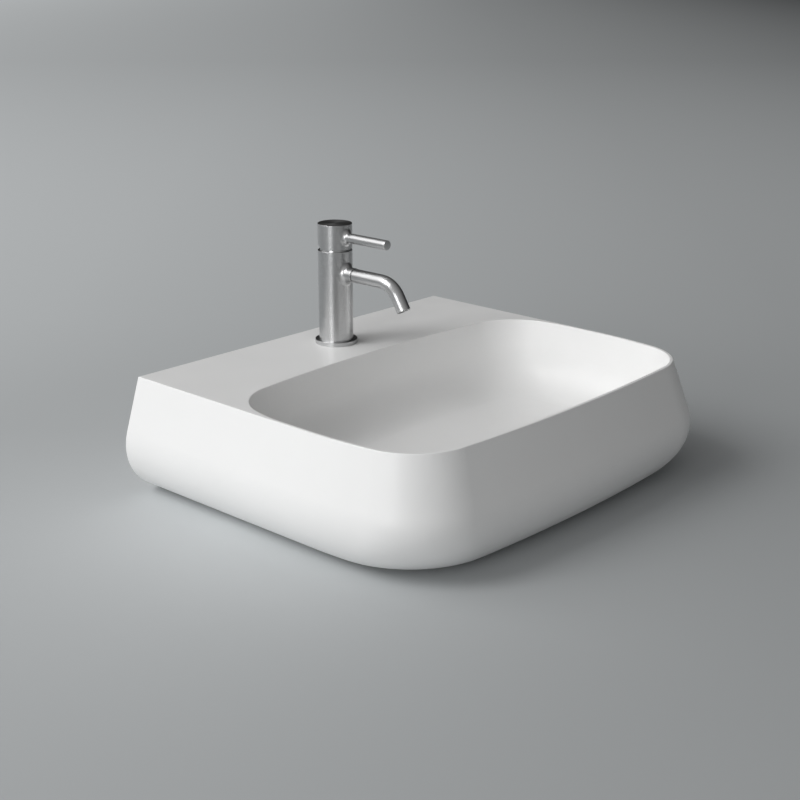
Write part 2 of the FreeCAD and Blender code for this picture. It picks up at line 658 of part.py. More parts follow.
def make_click_sleeve():
    """Sleeve screwed into the bridge, which guides the push rod and holds its spring."""
    top = SPRING_Z + SLEEVE_HEIGHT
    collar_top = top - SLEEVE_LIP
    seat_z = BRIDGE_Z + BRIDGE_THICKNESS
    floor_z = SPRING_Z - SLEEVE_FLOOR
    tail = drum(SLEEVE_TAIL_RADIUS, floor_z, seat_z - floor_z, y=DRAIN_Y)
    head = drum(SLEEVE_RADIUS, seat_z, top - seat_z, y=DRAIN_Y)
    bore = drum(SLEEVE_BORE_RADIUS, SPRING_Z, collar_top - SPRING_Z, y=DRAIN_Y)
    mouth = drum(STEM_RADIUS + FIT_CLEARANCE, collar_top - OVERRUN, SLEEVE_LIP + 2 * OVERRUN, y=DRAIN_Y)
    return fused([tail, head]).cut(bore).cut(mouth)


def coil_point(turns):
    """Point on the spring's centre line after so many turns, and the direction that it runs in there."""
    angle = 2 * math.pi * turns
    pitch = (SPRING_LENGTH - SPRING_WIRE) / SPRING_TURNS
    side = Vector(math.cos(angle), math.sin(angle), 0)
    rise = Vector(0, DRAIN_Y, SPRING_Z + SPRING_WIRE / 2 + pitch * turns)
    along = Vector(-side.y, side.x, pitch / (2 * math.pi * SPRING_RADIUS))
    return rise + side * SPRING_RADIUS, along.normalize()


def arc_under(first, apex, last):
    """Arc between two points whose tangents meet at the apex."""
    chord_middle = (first + last) * 0.5
    half_chord = (last - first).Length / 2
    height = (apex - chord_middle).Length
    sagitta = half_chord * math.tan(math.atan2(height, half_chord) / 2)
    return Part.Arc(first, chord_middle + (apex - chord_middle) * (sagitta / height), last).toShape()


def coil_span(start_turns, end_turns):
    """Two arcs that follow the spring's centre line, tangent to it at both ends and to each other."""
    first, leaving = coil_point(start_turns)
    last, arriving = coil_point(end_turns)
    chord = last - first
    turn = 2 * (1 - leaving.dot(arriving))
    lean = chord.dot(leaving + arriving)
    reach = (math.sqrt(lean ** 2 + turn * chord.dot(chord)) - lean) / turn
    first_apex = first + leaving * reach
    last_apex = last - arriving * reach
    join = (first_apex + last_apex) * 0.5
    return [arc_under(first, first_apex, join), arc_under(join, last_apex, last)]


def coil_gap():
    """Least gap between neighbouring turns of the spring, measured on points of its centre line."""
    count = round(SPRING_TURNS * SPRING_SPANS)
    points = [coil_point(step / SPRING_SPANS)[0] for step in range(count + 1)]
    pairs = [(step, step + SPRING_SPANS) for step in range(count + 1 - SPRING_SPANS)]
    return min((points[last] - points[first]).Length for first, last in pairs) - SPRING_WIRE


def make_click_spring():
    """Open coil between the sleeve's floor and the collar of the push rod, with few sides to its wire."""
    edges = []
    for step in range(round(SPRING_TURNS * SPRING_SPANS)):
        edges += coil_span(step / SPRING_SPANS, (step + 1) / SPRING_SPANS)
    start, along = coil_point(0)
    across = along.cross(Vector(0, 0, 1)).normalize()
    up = across.cross(along)
    corners = []
    for step in range(SPRING_WIRE_SIDES + 1):
        angle = 2 * math.pi * step / SPRING_WIRE_SIDES
        corners.append(start + (across * math.cos(angle) + up * math.sin(angle)) * (SPRING_WIRE / 2))
    return Part.Wire(edges).makePipeShell([Part.makePolygon(corners)], True, False)


# Tap body, base and spout

def make_tap_body():
    """Turned body with the cartridge chamber at the top and drilled waterways."""
    stand = DECK_Z + ROSETTE_HEIGHT
    barrel = eased(drum(BODY_RADIUS, stand, BODY_TOP_Z - stand, y=TAP_Y), [BODY_TOP_Z], EDGE_EASE)
    body = fused([barrel, drum(BODY_SPIGOT_RADIUS, DECK_Z, ROSETTE_HEIGHT, y=TAP_Y)])
    body = body.cut(drum(CHAMBER_RADIUS, CARTRIDGE_Z, BODY_HEIGHT, y=TAP_Y))
    for side in (-1, 1):
        x = side * PORT_SIDE
        y = TAP_Y - PORT_FORWARD
        body = body.cut(drum(RISER_RADIUS, DECK_Z, BODY_HEIGHT, x, y))
        body = body.cut(drum(INLET_RADIUS, DECK_Z - OVERRUN, INLET_LENGTH + OVERRUN, x, y))
    body = body.cut(drum(STUD_RADIUS, DECK_Z - OVERRUN, STUD_EMBED + OVERRUN, y=TAP_Y + STUD_BACK))
    body = body.cut(drum(OUTLET_RADIUS, SPOUT_Z, CARTRIDGE_Z - SPOUT_Z + OVERRUN, y=TAP_Y + OUTLET_BACK))
    body = body.cut(rod_to_front(WATERWAY_RADIUS, -OUTLET_BACK - WATERWAY_RADIUS, BODY_RADIUS, SPOUT_Z))
    return body.cut(rod_to_front(COLLAR_SPIGOT_RADIUS, COLLAR_SPIGOT_START, BODY_RADIUS + OVERRUN, SPOUT_Z))


def make_base_rosette():
    """Flat ring that the body stands on, with a groove underneath for the gasket."""
    plate = ring(ROSETTE_RADIUS, BODY_SPIGOT_RADIUS, DECK_Z, ROSETTE_HEIGHT, y=TAP_Y)
    plate = eased(plate, [DECK_Z + ROSETTE_HEIGHT], EDGE_EASE)
    groove = ring(BASE_GASKET_RADIUS, BASE_GASKET_RADIUS - BASE_GASKET_WIDTH, DECK_Z - OVERRUN,
                  BASE_GASKET + OVERRUN, y=TAP_Y)
    return plate.cut(groove)


def make_base_gasket():
    """Rubber ring in the rosette's groove."""
    return ring(BASE_GASKET_RADIUS, BASE_GASKET_RADIUS - BASE_GASKET_WIDTH, DECK_Z, BASE_GASKET, y=TAP_Y)


def make_spout_collar():
    """Collar on the body's side: a spigot into the body, a ring outside and a nipple into the spout."""
    barrel = drum(BODY_RADIUS, DECK_Z, TAP_HEIGHT, y=TAP_Y)
    outside = rod_to_front(COLLAR_RADIUS, COLLAR_SPIGOT_START, COLLAR_REACH, SPOUT_Z).cut(barrel)
    inside = rod_to_front(COLLAR_SPIGOT_RADIUS, COLLAR_SPIGOT_START, COLLAR_REACH, SPOUT_Z)
    nipple_radius = SPOUT_RADIUS - SPOUT_WALL
    nipple = rod_to_front(nipple_radius, COLLAR_REACH, COLLAR_REACH + COLLAR_NIPPLE, SPOUT_Z)
    bore = rod_to_front(WATERWAY_RADIUS, 0, COLLAR_REACH + COLLAR_NIPPLE + OVERRUN, SPOUT_Z)
    return fused([outside, inside, nipple]).cut(bore)


def spout_end():
    """Centre of the spout's open end and the direction that it points in."""
    bend = math.radians(SPOUT_BEND_DEG)
    direction = Vector(0, -math.cos(bend), -math.sin(bend))
    turn_y = TAP_Y - SPOUT_BEND_START - SPOUT_BEND_RADIUS * math.sin(bend)
    turn_z = SPOUT_Z - SPOUT_BEND_RADIUS * (1 - math.cos(bend))
    return Vector(0, turn_y, turn_z) + direction * SPOUT_END, direction


def bent_bar(radius, beyond):
    """Round bar along the spout: a level run, a bend and a straight end that runs on by beyond."""
    end, direction = spout_end()
    level = rod_to_front(radius, COLLAR_REACH, SPOUT_BEND_START, SPOUT_Z)
    start = Vector(0, TAP_Y - SPOUT_BEND_START, SPOUT_Z)
    section = Part.Face(Part.Wire(Part.Circle(start, Vector(0, 1, 0), radius).toShape()))
    pivot = start - Vector(0, 0, SPOUT_BEND_RADIUS)
    curve = section.revolve(pivot, Vector(1, 0, 0), SPOUT_BEND_DEG)
    last = Part.makeCylinder(radius, SPOUT_END + beyond, end - direction * SPOUT_END, direction)
    return fused([level, curve, last])


def at_spout_end(shape):
    """Piece drawn pointing down at the origin, moved to the spout's open end."""
    end, direction = spout_end()
    shape.Placement = Placement(end, Rotation(Vector(0, 0, -1), direction))
    return shape


def make_spout_tube():
    """Bent tube with a counterbore for the aerator in its end."""
    tube = bent_bar(SPOUT_RADIUS, 0).cut(bent_bar(SPOUT_RADIUS - SPOUT_WALL, OVERRUN))
    return tube.cut(at_spout_end(drum(AERATOR_RADIUS, -OVERRUN, AERATOR_DEPTH + OVERRUN)))


def make_aerator_shell():
    """Threaded shell of the aerator, with a lip at its open end."""
    height = AERATOR_DEPTH - AERATOR_RECESS - AERATOR_WASHER
    shell = drum(AERATOR_RADIUS, AERATOR_RECESS, height)
    lip_radius = AERATOR_RADIUS - AERATOR_WALL - AERATOR_LIP
    shell = shell.cut(drum(lip_radius, 0, AERATOR_DEPTH))
    room = drum(AERATOR_RADIUS - AERATOR_WALL, AERATOR_RECESS + AERATOR_LIP, AERATOR_DEPTH)
    return at_spout_end(shell.cut(room))


def make_aerator_insert():
    """Flow former: a plug drilled with rings of fine holes, more of them in each ring outwards."""
    radius = AERATOR_RADIUS - AERATOR_WALL
    insert = drum(radius, AERATOR_RECESS + AERATOR_LIP, AERATOR_INSERT)
    for number, share in enumerate(AERATOR_RING_SHARES, start=1):
        count = number * AERATOR_RING_HOLES
        for step in range(count):
            angle = step * 2 * math.pi / count
            x = share * radius * math.cos(angle)
            y = share * radius * math.sin(angle)
            insert = insert.cut(drum(AERATOR_HOLE_RADIUS, 0, AERATOR_DEPTH, x, y))
    return at_spout_end(insert)


def make_aerator_washer():
    """Rubber ring between the aerator and the end of its counterbore."""
    bore = SPOUT_RADIUS - SPOUT_WALL - AERATOR_WALL
    return at_spout_end(ring(AERATOR_RADIUS, bore, AERATOR_DEPTH - AERATOR_WASHER, AERATOR_WASHER))


# Fixing set under the deck

def make_fixing_stud():
    """Stud screwed into the foot of the tap, down through the deck."""
    return drum(STUD_RADIUS, DECK_Z + STUD_EMBED - STUD_LENGTH, STUD_LENGTH, y=TAP_Y + STUD_BACK)


def horseshoe(top, thickness):
    """Plate with a slot that lets the hoses through, open towards the front."""
    plate = drum(HORSESHOE_RADIUS, top - thickness, thickness, y=TAP_Y)
    slot = block(-HORSESHOE_SLOT, HORSESHOE_SLOT,
                 TAP_Y - HORSESHOE_RADIUS - OVERRUN, TAP_Y + HORSESHOE_SLOT_BACK,
                 top - thickness - OVERRUN, top + OVERRUN)
    hole = drum(STUD_RADIUS, top - thickness - OVERRUN, thickness + 2 * OVERRUN, y=TAP_Y + STUD_BACK)
    return plate.cut(slot).cut(hole)


def make_horseshoe_gasket():
    """Rubber horseshoe against the underside of the deck."""
    return horseshoe(DECK_Z - DECK_THICKNESS, HORSESHOE_GASKET)


def make_horseshoe_plate():
    """Steel horseshoe that spreads the nut's load."""
    return horseshoe(DECK_Z - DECK_THICKNESS - HORSESHOE_GASKET, HORSESHOE_PLATE)


def make_stud_nut():
    """Nut that pulls the tap down on the deck."""
    top = DECK_Z - DECK_THICKNESS - HORSESHOE_GASKET - HORSESHOE_PLATE
    y = TAP_Y + STUD_BACK
    bore = drum(STUD_RADIUS, top - STUD_NUT_HEIGHT - OVERRUN, STUD_NUT_HEIGHT + 2 * OVERRUN, y=y)
    return hex_bar(STUD_NUT_FLATS, top - STUD_NUT_HEIGHT, STUD_NUT_HEIGHT, y=y).cut(bore)


# Cartridge

def port_places():
    """Middle and radius of each waterway through the cartridge: two inlets and the outlet."""
    front = TAP_Y - PORT_FORWARD
    return [
        (-PORT_SIDE, front, RISER_RADIUS),
        (PORT_SIDE, front, RISER_RADIUS),
        (0, TAP_Y + OUTLET_BACK, OUTLET_RADIUS),
    ]


def pierced(solid, bottom, height):
    """Solid with the three waterways drilled through it."""
    for x, y, radius in port_places():
        solid = solid.cut(drum(radius, bottom - OVERRUN, height + 2 * OVERRUN, x, y))
    return solid


def make_cartridge_base():
    """Foot of the cartridge, with a seal groove round each waterway."""
    base = drum(CARTRIDGE_RADIUS, CARTRIDGE_Z, CARTRIDGE_BASE, y=TAP_Y)
    base = pierced(base, CARTRIDGE_Z, CARTRIDGE_BASE)
    for x, y, radius in port_places():
        base = base.cut(drum(radius + PORT_SEAL_WIDTH, CARTRIDGE_Z - OVERRUN, PORT_SEAL + OVERRUN, x, y))
    return base


def make_port_seals():
    """One rubber ring in each groove of the cartridge's foot."""
    rings = []
    for x, y, radius in port_places():
        rings.append(ring(radius + PORT_SEAL_WIDTH, radius, CARTRIDGE_Z, PORT_SEAL, x, y))
    return Part.makeCompound(rings)


def make_fixed_disc():
    """Lower ceramic disc, which stays still."""
    disc = drum(FIXED_DISC_RADIUS, FIXED_DISC_Z, DISC_THICKNESS, y=TAP_Y)
    return pierced(disc, FIXED_DISC_Z, DISC_THICKNESS)


def make_moving_disc():
    """Upper ceramic disc, with the mixing recess in its underside."""
    disc = drum(MOVING_DISC_RADIUS, MOVING_DISC_Z, DISC_THICKNESS, y=TAP_Y)
    recess = drum(MIXING_RECESS_RADIUS, MOVING_DISC_Z - OVERRUN, MIXING_RECESS_DEPTH + OVERRUN,
                  y=TAP_Y + MIXING_RECESS_BACK)
    return disc.cut(recess)


def make_disc_carrier():
    """Slide on the moving disc: two flats run in the rotor, and a slot takes the stem's ball."""
    round_plate = drum(MOVING_DISC_RADIUS, CARRIER_Z, CARRIER_THICKNESS, y=TAP_Y)
    between = block(-CARRIER_HALF_WIDTH, CARRIER_HALF_WIDTH,
                    TAP_Y - MOVING_DISC_RADIUS, TAP_Y + MOVING_DISC_RADIUS,
                    CARRIER_Z, CARRIER_Z + CARRIER_THICKNESS)
    half_slot = STEM_BALL_RADIUS + SLIDE_CLEARANCE
    slot = block(-half_slot, half_slot, TAP_Y - half_slot, TAP_Y + half_slot,
                 CARRIER_Z - OVERRUN, CARRIER_Z + CARRIER_THICKNESS + OVERRUN)
    return round_plate.common(between).cut(slot)


def make_cartridge_rotor():
    """Turning piece of the cartridge: cheeks beside the slide, a flange, and a neck slotted for the stem."""
    flange = drum(ROTOR_FLANGE_RADIUS, ROTOR_Z, ROTOR_FLANGE, y=TAP_Y)
    neck = drum(ROTOR_NECK_RADIUS, ROTOR_Z, ROTOR_HEIGHT, y=TAP_Y)
    pieces = [flange, neck]
    inner = CARRIER_HALF_WIDTH + FIT_CLEARANCE
    for low, high in ((-CHEEK_REACH, -inner), (inner, CHEEK_REACH)):
        pieces.append(block(low, high, TAP_Y - CHEEK_HALF_LENGTH, TAP_Y + CHEEK_HALF_LENGTH,
                            CARRIER_Z + CHEEK_LIFT, ROTOR_Z + ROTOR_FLANGE))
    slot = block(-ROTOR_SLOT_HALF_WIDTH, ROTOR_SLOT_HALF_WIDTH,
                 TAP_Y - ROTOR_SLOT_HALF_LENGTH, TAP_Y + ROTOR_SLOT_HALF_LENGTH,
                 ROTOR_Z - OVERRUN, ROTOR_Z + ROTOR_HEIGHT + OVERRUN)
    return fused(pieces).cut(slot).cut(pivot_bar(PIVOT_PIN_RADIUS, PIVOT_PIN_LENGTH))


def pivot_bar(radius, length):
    """Level bar on the axis that the handle tilts about."""
    return Part.makeCylinder(radius, length, Vector(-length / 2, TAP_Y, PIVOT_Z), Vector(1, 0, 0))


def make_pivot_pin():
    """Steel pin through the rotor and the stem."""
    return pivot_bar(PIVOT_PIN_RADIUS, PIVOT_PIN_LENGTH)


def make_cartridge_housing():
    """Case of the cartridge: a skirt round the discs, a shoulder and a neck that guides the rotor."""
    inner = CARTRIDGE_RADIUS - CARTRIDGE_WALL
    skirt = ring(CARTRIDGE_RADIUS, inner, FIXED_DISC_Z, NUT_Z - FIXED_DISC_Z, y=TAP_Y)
    bore = ROTOR_NECK_RADIUS + FIT_CLEARANCE
    shoulder = ring(CARTRIDGE_RADIUS, bore, SHOULDER_Z, HOUSING_SHOULDER, y=TAP_Y)
    neck = ring(HOUSING_NECK_RADIUS, bore, SHOULDER_Z, HOUSING_NECK, y=TAP_Y)
    return fused([skirt, shoulder, neck])


def make_cartridge_nut():
    """Ring nut that holds the cartridge down, with notches for a pin wrench."""
    nut = ring(CHAMBER_RADIUS, HOUSING_NECK_RADIUS + SLIDE_CLEARANCE, NUT_Z, NUT_RING_HEIGHT, y=TAP_Y)
    top = NUT_Z + NUT_RING_HEIGHT
    for step in range(NUT_NOTCHES):
        notch = block(0, CHAMBER_RADIUS + OVERRUN, TAP_Y - NUT_NOTCH / 2, TAP_Y + NUT_NOTCH / 2,
                      top - NUT_NOTCH_DEPTH, top + OVERRUN)
        notch.rotate(Vector(0, TAP_Y, 0), Vector(0, 0, 1), step * 360 / NUT_NOTCHES)
        nut = nut.cut(notch)
    return nut


def make_cover_dome():
    """Round-sided cover over the nut, which shows in the gap under the handle."""
    middle = Vector(0, TAP_Y, PIVOT_Z)
    shell = Part.makeSphere(DOME_RADIUS, middle).cut(Part.makeSphere(DOME_RADIUS - DOME_WALL, middle))
    return shell.common(drum(DOME_RADIUS, BODY_TOP_Z, DOME_HEIGHT, y=TAP_Y))


# Handle

def make_handle_cap():
    """Hollow cap with a boss for the stem, a hole for the lever, and a slanted relief at the back."""
    outside = eased(drum(BODY_RADIUS, CAP_Z, CAP_TOP_Z - CAP_Z, y=TAP_Y), [CAP_TOP_Z], EDGE_EASE)
    ceiling = CAP_TOP_Z - CAP_TOP
    shell = outside.cut(drum(CAP_BORE_RADIUS, CAP_Z - OVERRUN, ceiling - CAP_Z + OVERRUN, y=TAP_Y))
    boss_z = LEVER_Z - CAP_BOSS_DROP
    cap = fused([shell, drum(CAP_BOSS_RADIUS, boss_z, ceiling - boss_z, y=TAP_Y)])
    socket_z = boss_z - OVERRUN
    cap = cap.cut(drum(LEVER_STEM_RADIUS, socket_z, STEM_TOP_Z - socket_z, y=TAP_Y))
    cap = cap.cut(rod_to_front(LEVER_RADIUS, CAP_BORE_RADIUS - OVERRUN, BODY_RADIUS + OVERRUN, LEVER_Z))
    cap = cap.cut(rod_to_front(LEVER_TAIL_RADIUS, LEVER_STEM_RADIUS, BODY_RADIUS, LEVER_Z))
    cap = cap.cut(rod_to_front(GRUB_RADIUS, -BODY_RADIUS - OVERRUN, 0, LEVER_Z))
    return cap.cut(cap_relief())


def cap_relief():
    """Wedge taken off the back of the cap's lower edge, so that the cap can tilt."""
    reach = BODY_RADIUS + OVERRUN
    rise = reach * math.tan(math.radians(CAP_RELIEF_DEG))
    corners = [
        Vector(-reach, TAP_Y, CAP_Z - OVERRUN),
        Vector(-reach, TAP_Y, CAP_Z),
        Vector(-reach, TAP_Y + reach, CAP_Z + rise),
        Vector(-reach, TAP_Y + reach, CAP_Z - OVERRUN),
    ]
    side = Part.Face(Part.makePolygon(corners + corners[:1]))
    return side.extrude(Vector(2 * reach, 0, 0))


def make_handle_lever():
    """Round lever with a flat end, and a thinner tail screwed into the cap's boss."""
    root = CAP_BORE_RADIUS
    rod = rod_to_front(LEVER_RADIUS, root, LEVER_REACH, LEVER_Z)
    tip = [edge for edge in rod.Edges if edge.BoundBox.YMax < TAP_Y - LEVER_REACH + FIT_CLEARANCE]
    rod = rod.makeChamfer(EDGE_EASE, tip)
    tail = rod_to_front(LEVER_TAIL_RADIUS, LEVER_STEM_RADIUS, root, LEVER_Z)
    stem = drum(LEVER_STEM_RADIUS, PIVOT_Z, STEM_TOP_Z - PIVOT_Z, y=TAP_Y)
    return fused([rod, tail]).cut(stem)


def make_lever_stem():
    """Stem on the pivot pin: its top fits in the cap and its ball moves the disc carrier."""
    cone_z = STEM_BALL_Z + STEM_CONE
    shaft_z = cone_z + LEVER_STEM_RADIUS - STEM_WAIST_RADIUS
    shaft = turned([
        (0, STEM_BALL_Z),
        (STEM_WAIST_RADIUS, STEM_BALL_Z),
        (STEM_WAIST_RADIUS, cone_z),
        (LEVER_STEM_RADIUS, shaft_z),
        (LEVER_STEM_RADIUS, STEM_TOP_Z),
        (0, STEM_TOP_Z),
    ], y=TAP_Y)
    ball = Part.makeSphere(STEM_BALL_RADIUS, Vector(0, TAP_Y, STEM_BALL_Z))
    return fused([shaft, ball]).cut(pivot_bar(PIVOT_PIN_RADIUS + FIT_CLEARANCE, PIVOT_PIN_LENGTH))


def make_grub_screw():
    """Set screw at the back of the cap, which holds the stem."""
    start = -LEVER_STEM_RADIUS - GRUB_LENGTH
    screw = rod_to_front(GRUB_RADIUS, start, 0, LEVER_Z)
    stem = drum(LEVER_STEM_RADIUS, PIVOT_Z, STEM_TOP_Z - PIVOT_Z, y=TAP_Y)
    socket = hex_bar(GRUB_SOCKET_FLATS, -OVERRUN, GRUB_SOCKET_DEPTH + OVERRUN)
    to_front = Rotation(Vector(0, 0, 1), Vector(0, -1, 0))
    socket.Placement = Placement(Vector(0, TAP_Y - start, LEVER_Z), to_front)
    return screw.cut(stem).cut(socket)


PARTS = {
    "basin_body": make_basin,
    "waste_body": make_waste_body,
    "flange_gasket": make_flange_gasket,
    "tail_gasket": make_tail_gasket,
    "slip_washer": make_slip_washer,
    "backnut": make_backnut,
    "plug_cap": make_plug_cap,
    "plug_seal": make_plug_seal,
    "plug_stem": make_plug_stem,
    "click_sleeve": make_click_sleeve,
    "click_spring": make_click_spring,
    "tap_body": make_tap_body,
    "base_rosette": make_base_rosette,
    "base_gasket": make_base_gasket,
    "spout_collar": make_spout_collar,
    "spout_tube": make_spout_tube,
    "aerator_shell": make_aerator_shell,
    "aerator_insert": make_aerator_insert,
    "aerator_washer": make_aerator_washer,
    "fixing_stud": make_fixing_stud,
    "horseshoe_gasket": make_horseshoe_gasket,
    "horseshoe_plate": make_horseshoe_plate,
    "stud_nut": make_stud_nut,
    "cartridge_base": make_cartridge_base,
    "port_seals": make_port_seals,
    "fixed_disc": make_fixed_disc,
    "moving_disc": make_moving_disc,
    "disc_carrier": make_disc_carrier,
    "cartridge_rotor": make_cartridge_rotor,
    "pivot_pin": make_pivot_pin,
    "cartridge_housing": make_cartridge_housing,
    "cartridge_nut": make_cartridge_nut,
    "cover_dome": make_cover_dome,
    "handle_cap": make_handle_cap,
    "handle_lever": make_handle_lever,
    "lever_stem": make_lever_stem,
    "grub_screw": make_grub_screw,
}


def main():
    """Write each piece to its own file."""
    os.makedirs("parts", exist_ok=True)
    for name, make in PARTS.items():
        shape = make()
        solid_count = len(shape.Solids)
        print(name, "solids", solid_count, "valid", shape.isValid(), "volume", round(shape.Volume, 1))
        shape.exportStep(f"parts/{name}.step")
    print("least gap between the spring's turns", round(coil_gap(), 3))


if __name__ == "__main__":
    main()
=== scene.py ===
import logging
import math
from dataclasses import dataclass, field, replace
from enum import Enum
from typing import Callable

import bmesh
import bpy
from mathutils import Euler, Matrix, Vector


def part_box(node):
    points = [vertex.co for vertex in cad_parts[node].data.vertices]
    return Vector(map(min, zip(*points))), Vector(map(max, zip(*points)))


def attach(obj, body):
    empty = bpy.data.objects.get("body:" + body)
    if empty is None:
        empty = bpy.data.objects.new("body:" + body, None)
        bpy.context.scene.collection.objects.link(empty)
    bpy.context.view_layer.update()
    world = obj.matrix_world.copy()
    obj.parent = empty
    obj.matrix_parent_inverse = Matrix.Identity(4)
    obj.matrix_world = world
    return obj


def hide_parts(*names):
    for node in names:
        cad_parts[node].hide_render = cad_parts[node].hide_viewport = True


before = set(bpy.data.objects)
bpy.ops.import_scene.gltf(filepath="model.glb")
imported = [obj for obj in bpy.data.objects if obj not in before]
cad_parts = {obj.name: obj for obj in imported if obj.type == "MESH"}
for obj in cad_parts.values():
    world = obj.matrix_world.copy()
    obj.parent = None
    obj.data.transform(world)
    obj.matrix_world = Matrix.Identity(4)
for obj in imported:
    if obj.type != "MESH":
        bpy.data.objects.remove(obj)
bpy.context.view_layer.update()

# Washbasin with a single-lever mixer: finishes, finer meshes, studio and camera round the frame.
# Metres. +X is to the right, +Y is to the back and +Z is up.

LOG = logging.getLogger("washbasin")
UV_NAME = "unwrapped"
RIGHTWARD = Vector((1.0, 0.0, 0.0))
FORWARD = Vector((0.0, -1.0, 0.0))
UPWARD = Vector((0.0, 0.0, 1.0))
Colour = tuple[float, float, float]
Place = tuple[float, float, float]
Spot = tuple[float, float]
Ring = Callable[[float], Spot]
Row = list[bmesh.types.BMVert]
Socket = bpy.types.NodeSocket
Number = Socket | float
Vectorial = Socket | Vector | Place


class Slot(Enum):
    """Material slots of the record."""

    CERAMIC = "ceramic"
    BRUSHED_STEEL = "brushed_steel"
    POLISHED_STEEL = "polished_steel"
    ZINC_STEEL = "zinc_steel"
    BRASS = "brass"
    RUBBER = "rubber"
    WHITE_PLASTIC = "white_plastic"
    DISC_CERAMIC = "disc_ceramic"


class Body(Enum):
    """Bodies of the frame that carry finer pieces."""

    BASIN = "basin"
    HANDLE = "handle"
    PLUG = "plug"


class Lay(Enum):
    """Way of the tool lines on a brushed piece: round an upright axis, or along the piece."""

    ROUND = "round"
    LENGTHWISE = "lengthwise"


class Effect(Enum):
    """Shared surface effects, each one a node group."""

    CLOUDS = "cloudy_tone"
    TURNING = "turned_lines"
    GRAIN = "fine_grain"
    EDGES = "bright_edges"


@dataclass(frozen=True)
class NodeBox:
    """Box of a node of the frame at rest."""

    low: Vector
    high: Vector

    @classmethod
    def of(cls, node: str) -> "NodeBox":
        """Box of a named node."""
        return cls(*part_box(node))

    def middle(self) -> Vector:
        """Middle of the box."""
        return (self.low + self.high) / 2

    def centre(self) -> Place:
        """Middle of the box as plain numbers."""
        return tuple(self.middle())

    def radius(self) -> float:
        """Half of the box's depth, which is the radius of an upright round piece."""
        return (self.high.y - self.low.y) / 2


# Shader tools

@dataclass
class NodeBench:
    """Places shader nodes in one tree and wires them."""

    tree: bpy.types.NodeTree

    def place(self, kind: str, inputs: dict | None = None, **settings: object) -> bpy.types.Node:
        """Add one node.

        Args:
            kind: Blender's name for the node type.
            inputs: values, or output sockets to wire in, by input name or number.
            settings: properties of the node itself.

        Returns:
            The new node.
        """
        node = self.tree.nodes.new(kind)
        for name, value in settings.items():
            setattr(node, name, value)
        for name, value in (inputs or {}).items():
            if isinstance(value, Socket):
                self.tree.links.new(value, node.inputs[name])
            else:
                node.inputs[name].default_value = value
        return node

    def maths(self, operation: str, first: Number, second: Number) -> Socket:
        """Result of one sum on two numbers or sockets."""
        return self.place("ShaderNodeMath", {0: first, 1: second}, operation=operation).outputs[0]

    def ranged(self, value: Socket, span: Spot, low: Number, high: Number) -> Socket:
        """Stretch a value from one span to another, held at the ends.

        Args:
            value: socket that gives the value.
            span: value that comes out as low and value that comes out as high.
            low: number or socket for the low end.
            high: number or socket for the high end.

        Returns:
            The socket with the stretched value.
        """
        inputs = {"Value": value, "From Min": span[0], "From Max": span[1], "To Min": low, "To Max": high}
        return self.place("ShaderNodeMapRange", inputs).outputs["Result"]

    def noise(self, vector: Socket, scale: Number, detail: float) -> Socket:
        """Value of a noise texture over the given coordinates."""
        inputs = {"Vector": vector, "Scale": scale, "Detail": detail}
        return self.place("ShaderNodeTexNoise", inputs).outputs["Fac"]

    def object_place(self) -> Socket:
        """Coordinates that stay with the piece, in metres."""
        return self.place("ShaderNodeTexCoord").outputs["Object"]

    def dot(self, first: Socket, second: Vectorial) -> Socket:
        """Dot product of a vector with another."""
        node = self.place("ShaderNodeVectorMath", {0: first, 1: second}, operation="DOT_PRODUCT")
        return node.outputs["Value"]

    def apart(self, first: Socket, second: Vectorial) -> Socket:
        """Distance between two places."""
        node = self.place("ShaderNodeVectorMath", {0: first, 1: second}, operation="DISTANCE")
        return node.outputs["Value"]

    def tinted(self, colour: Vectorial, share: Socket) -> Socket:
        """Colour made darker or lighter by a share that changes over the surface."""
        node = self.place("ShaderNodeVectorMath", {0: colour, "Scale": share}, operation="SCALE")
        return node.outputs["Vector"]

    def mixed(self, first: Socket, second: Colour, share: Socket) -> Socket:
        """Mix a painted colour with a plain one.

        Args:
            first: socket with the painted colour.
            second: the plain colour.
            share: socket with the plain colour's share.

        Returns:
            The socket with the mixed colour.
        """
        node = self.place("ShaderNodeMix", {"Factor": share}, data_type="RGBA")
        places = {socket.identifier: socket for socket in node.inputs}
        self.tree.links.new(first, places["A_Color"])
        places["B_Color"].default_value = (*second, 1.0)
        return next(socket for socket in node.outputs if socket.identifier == "Result_Color")


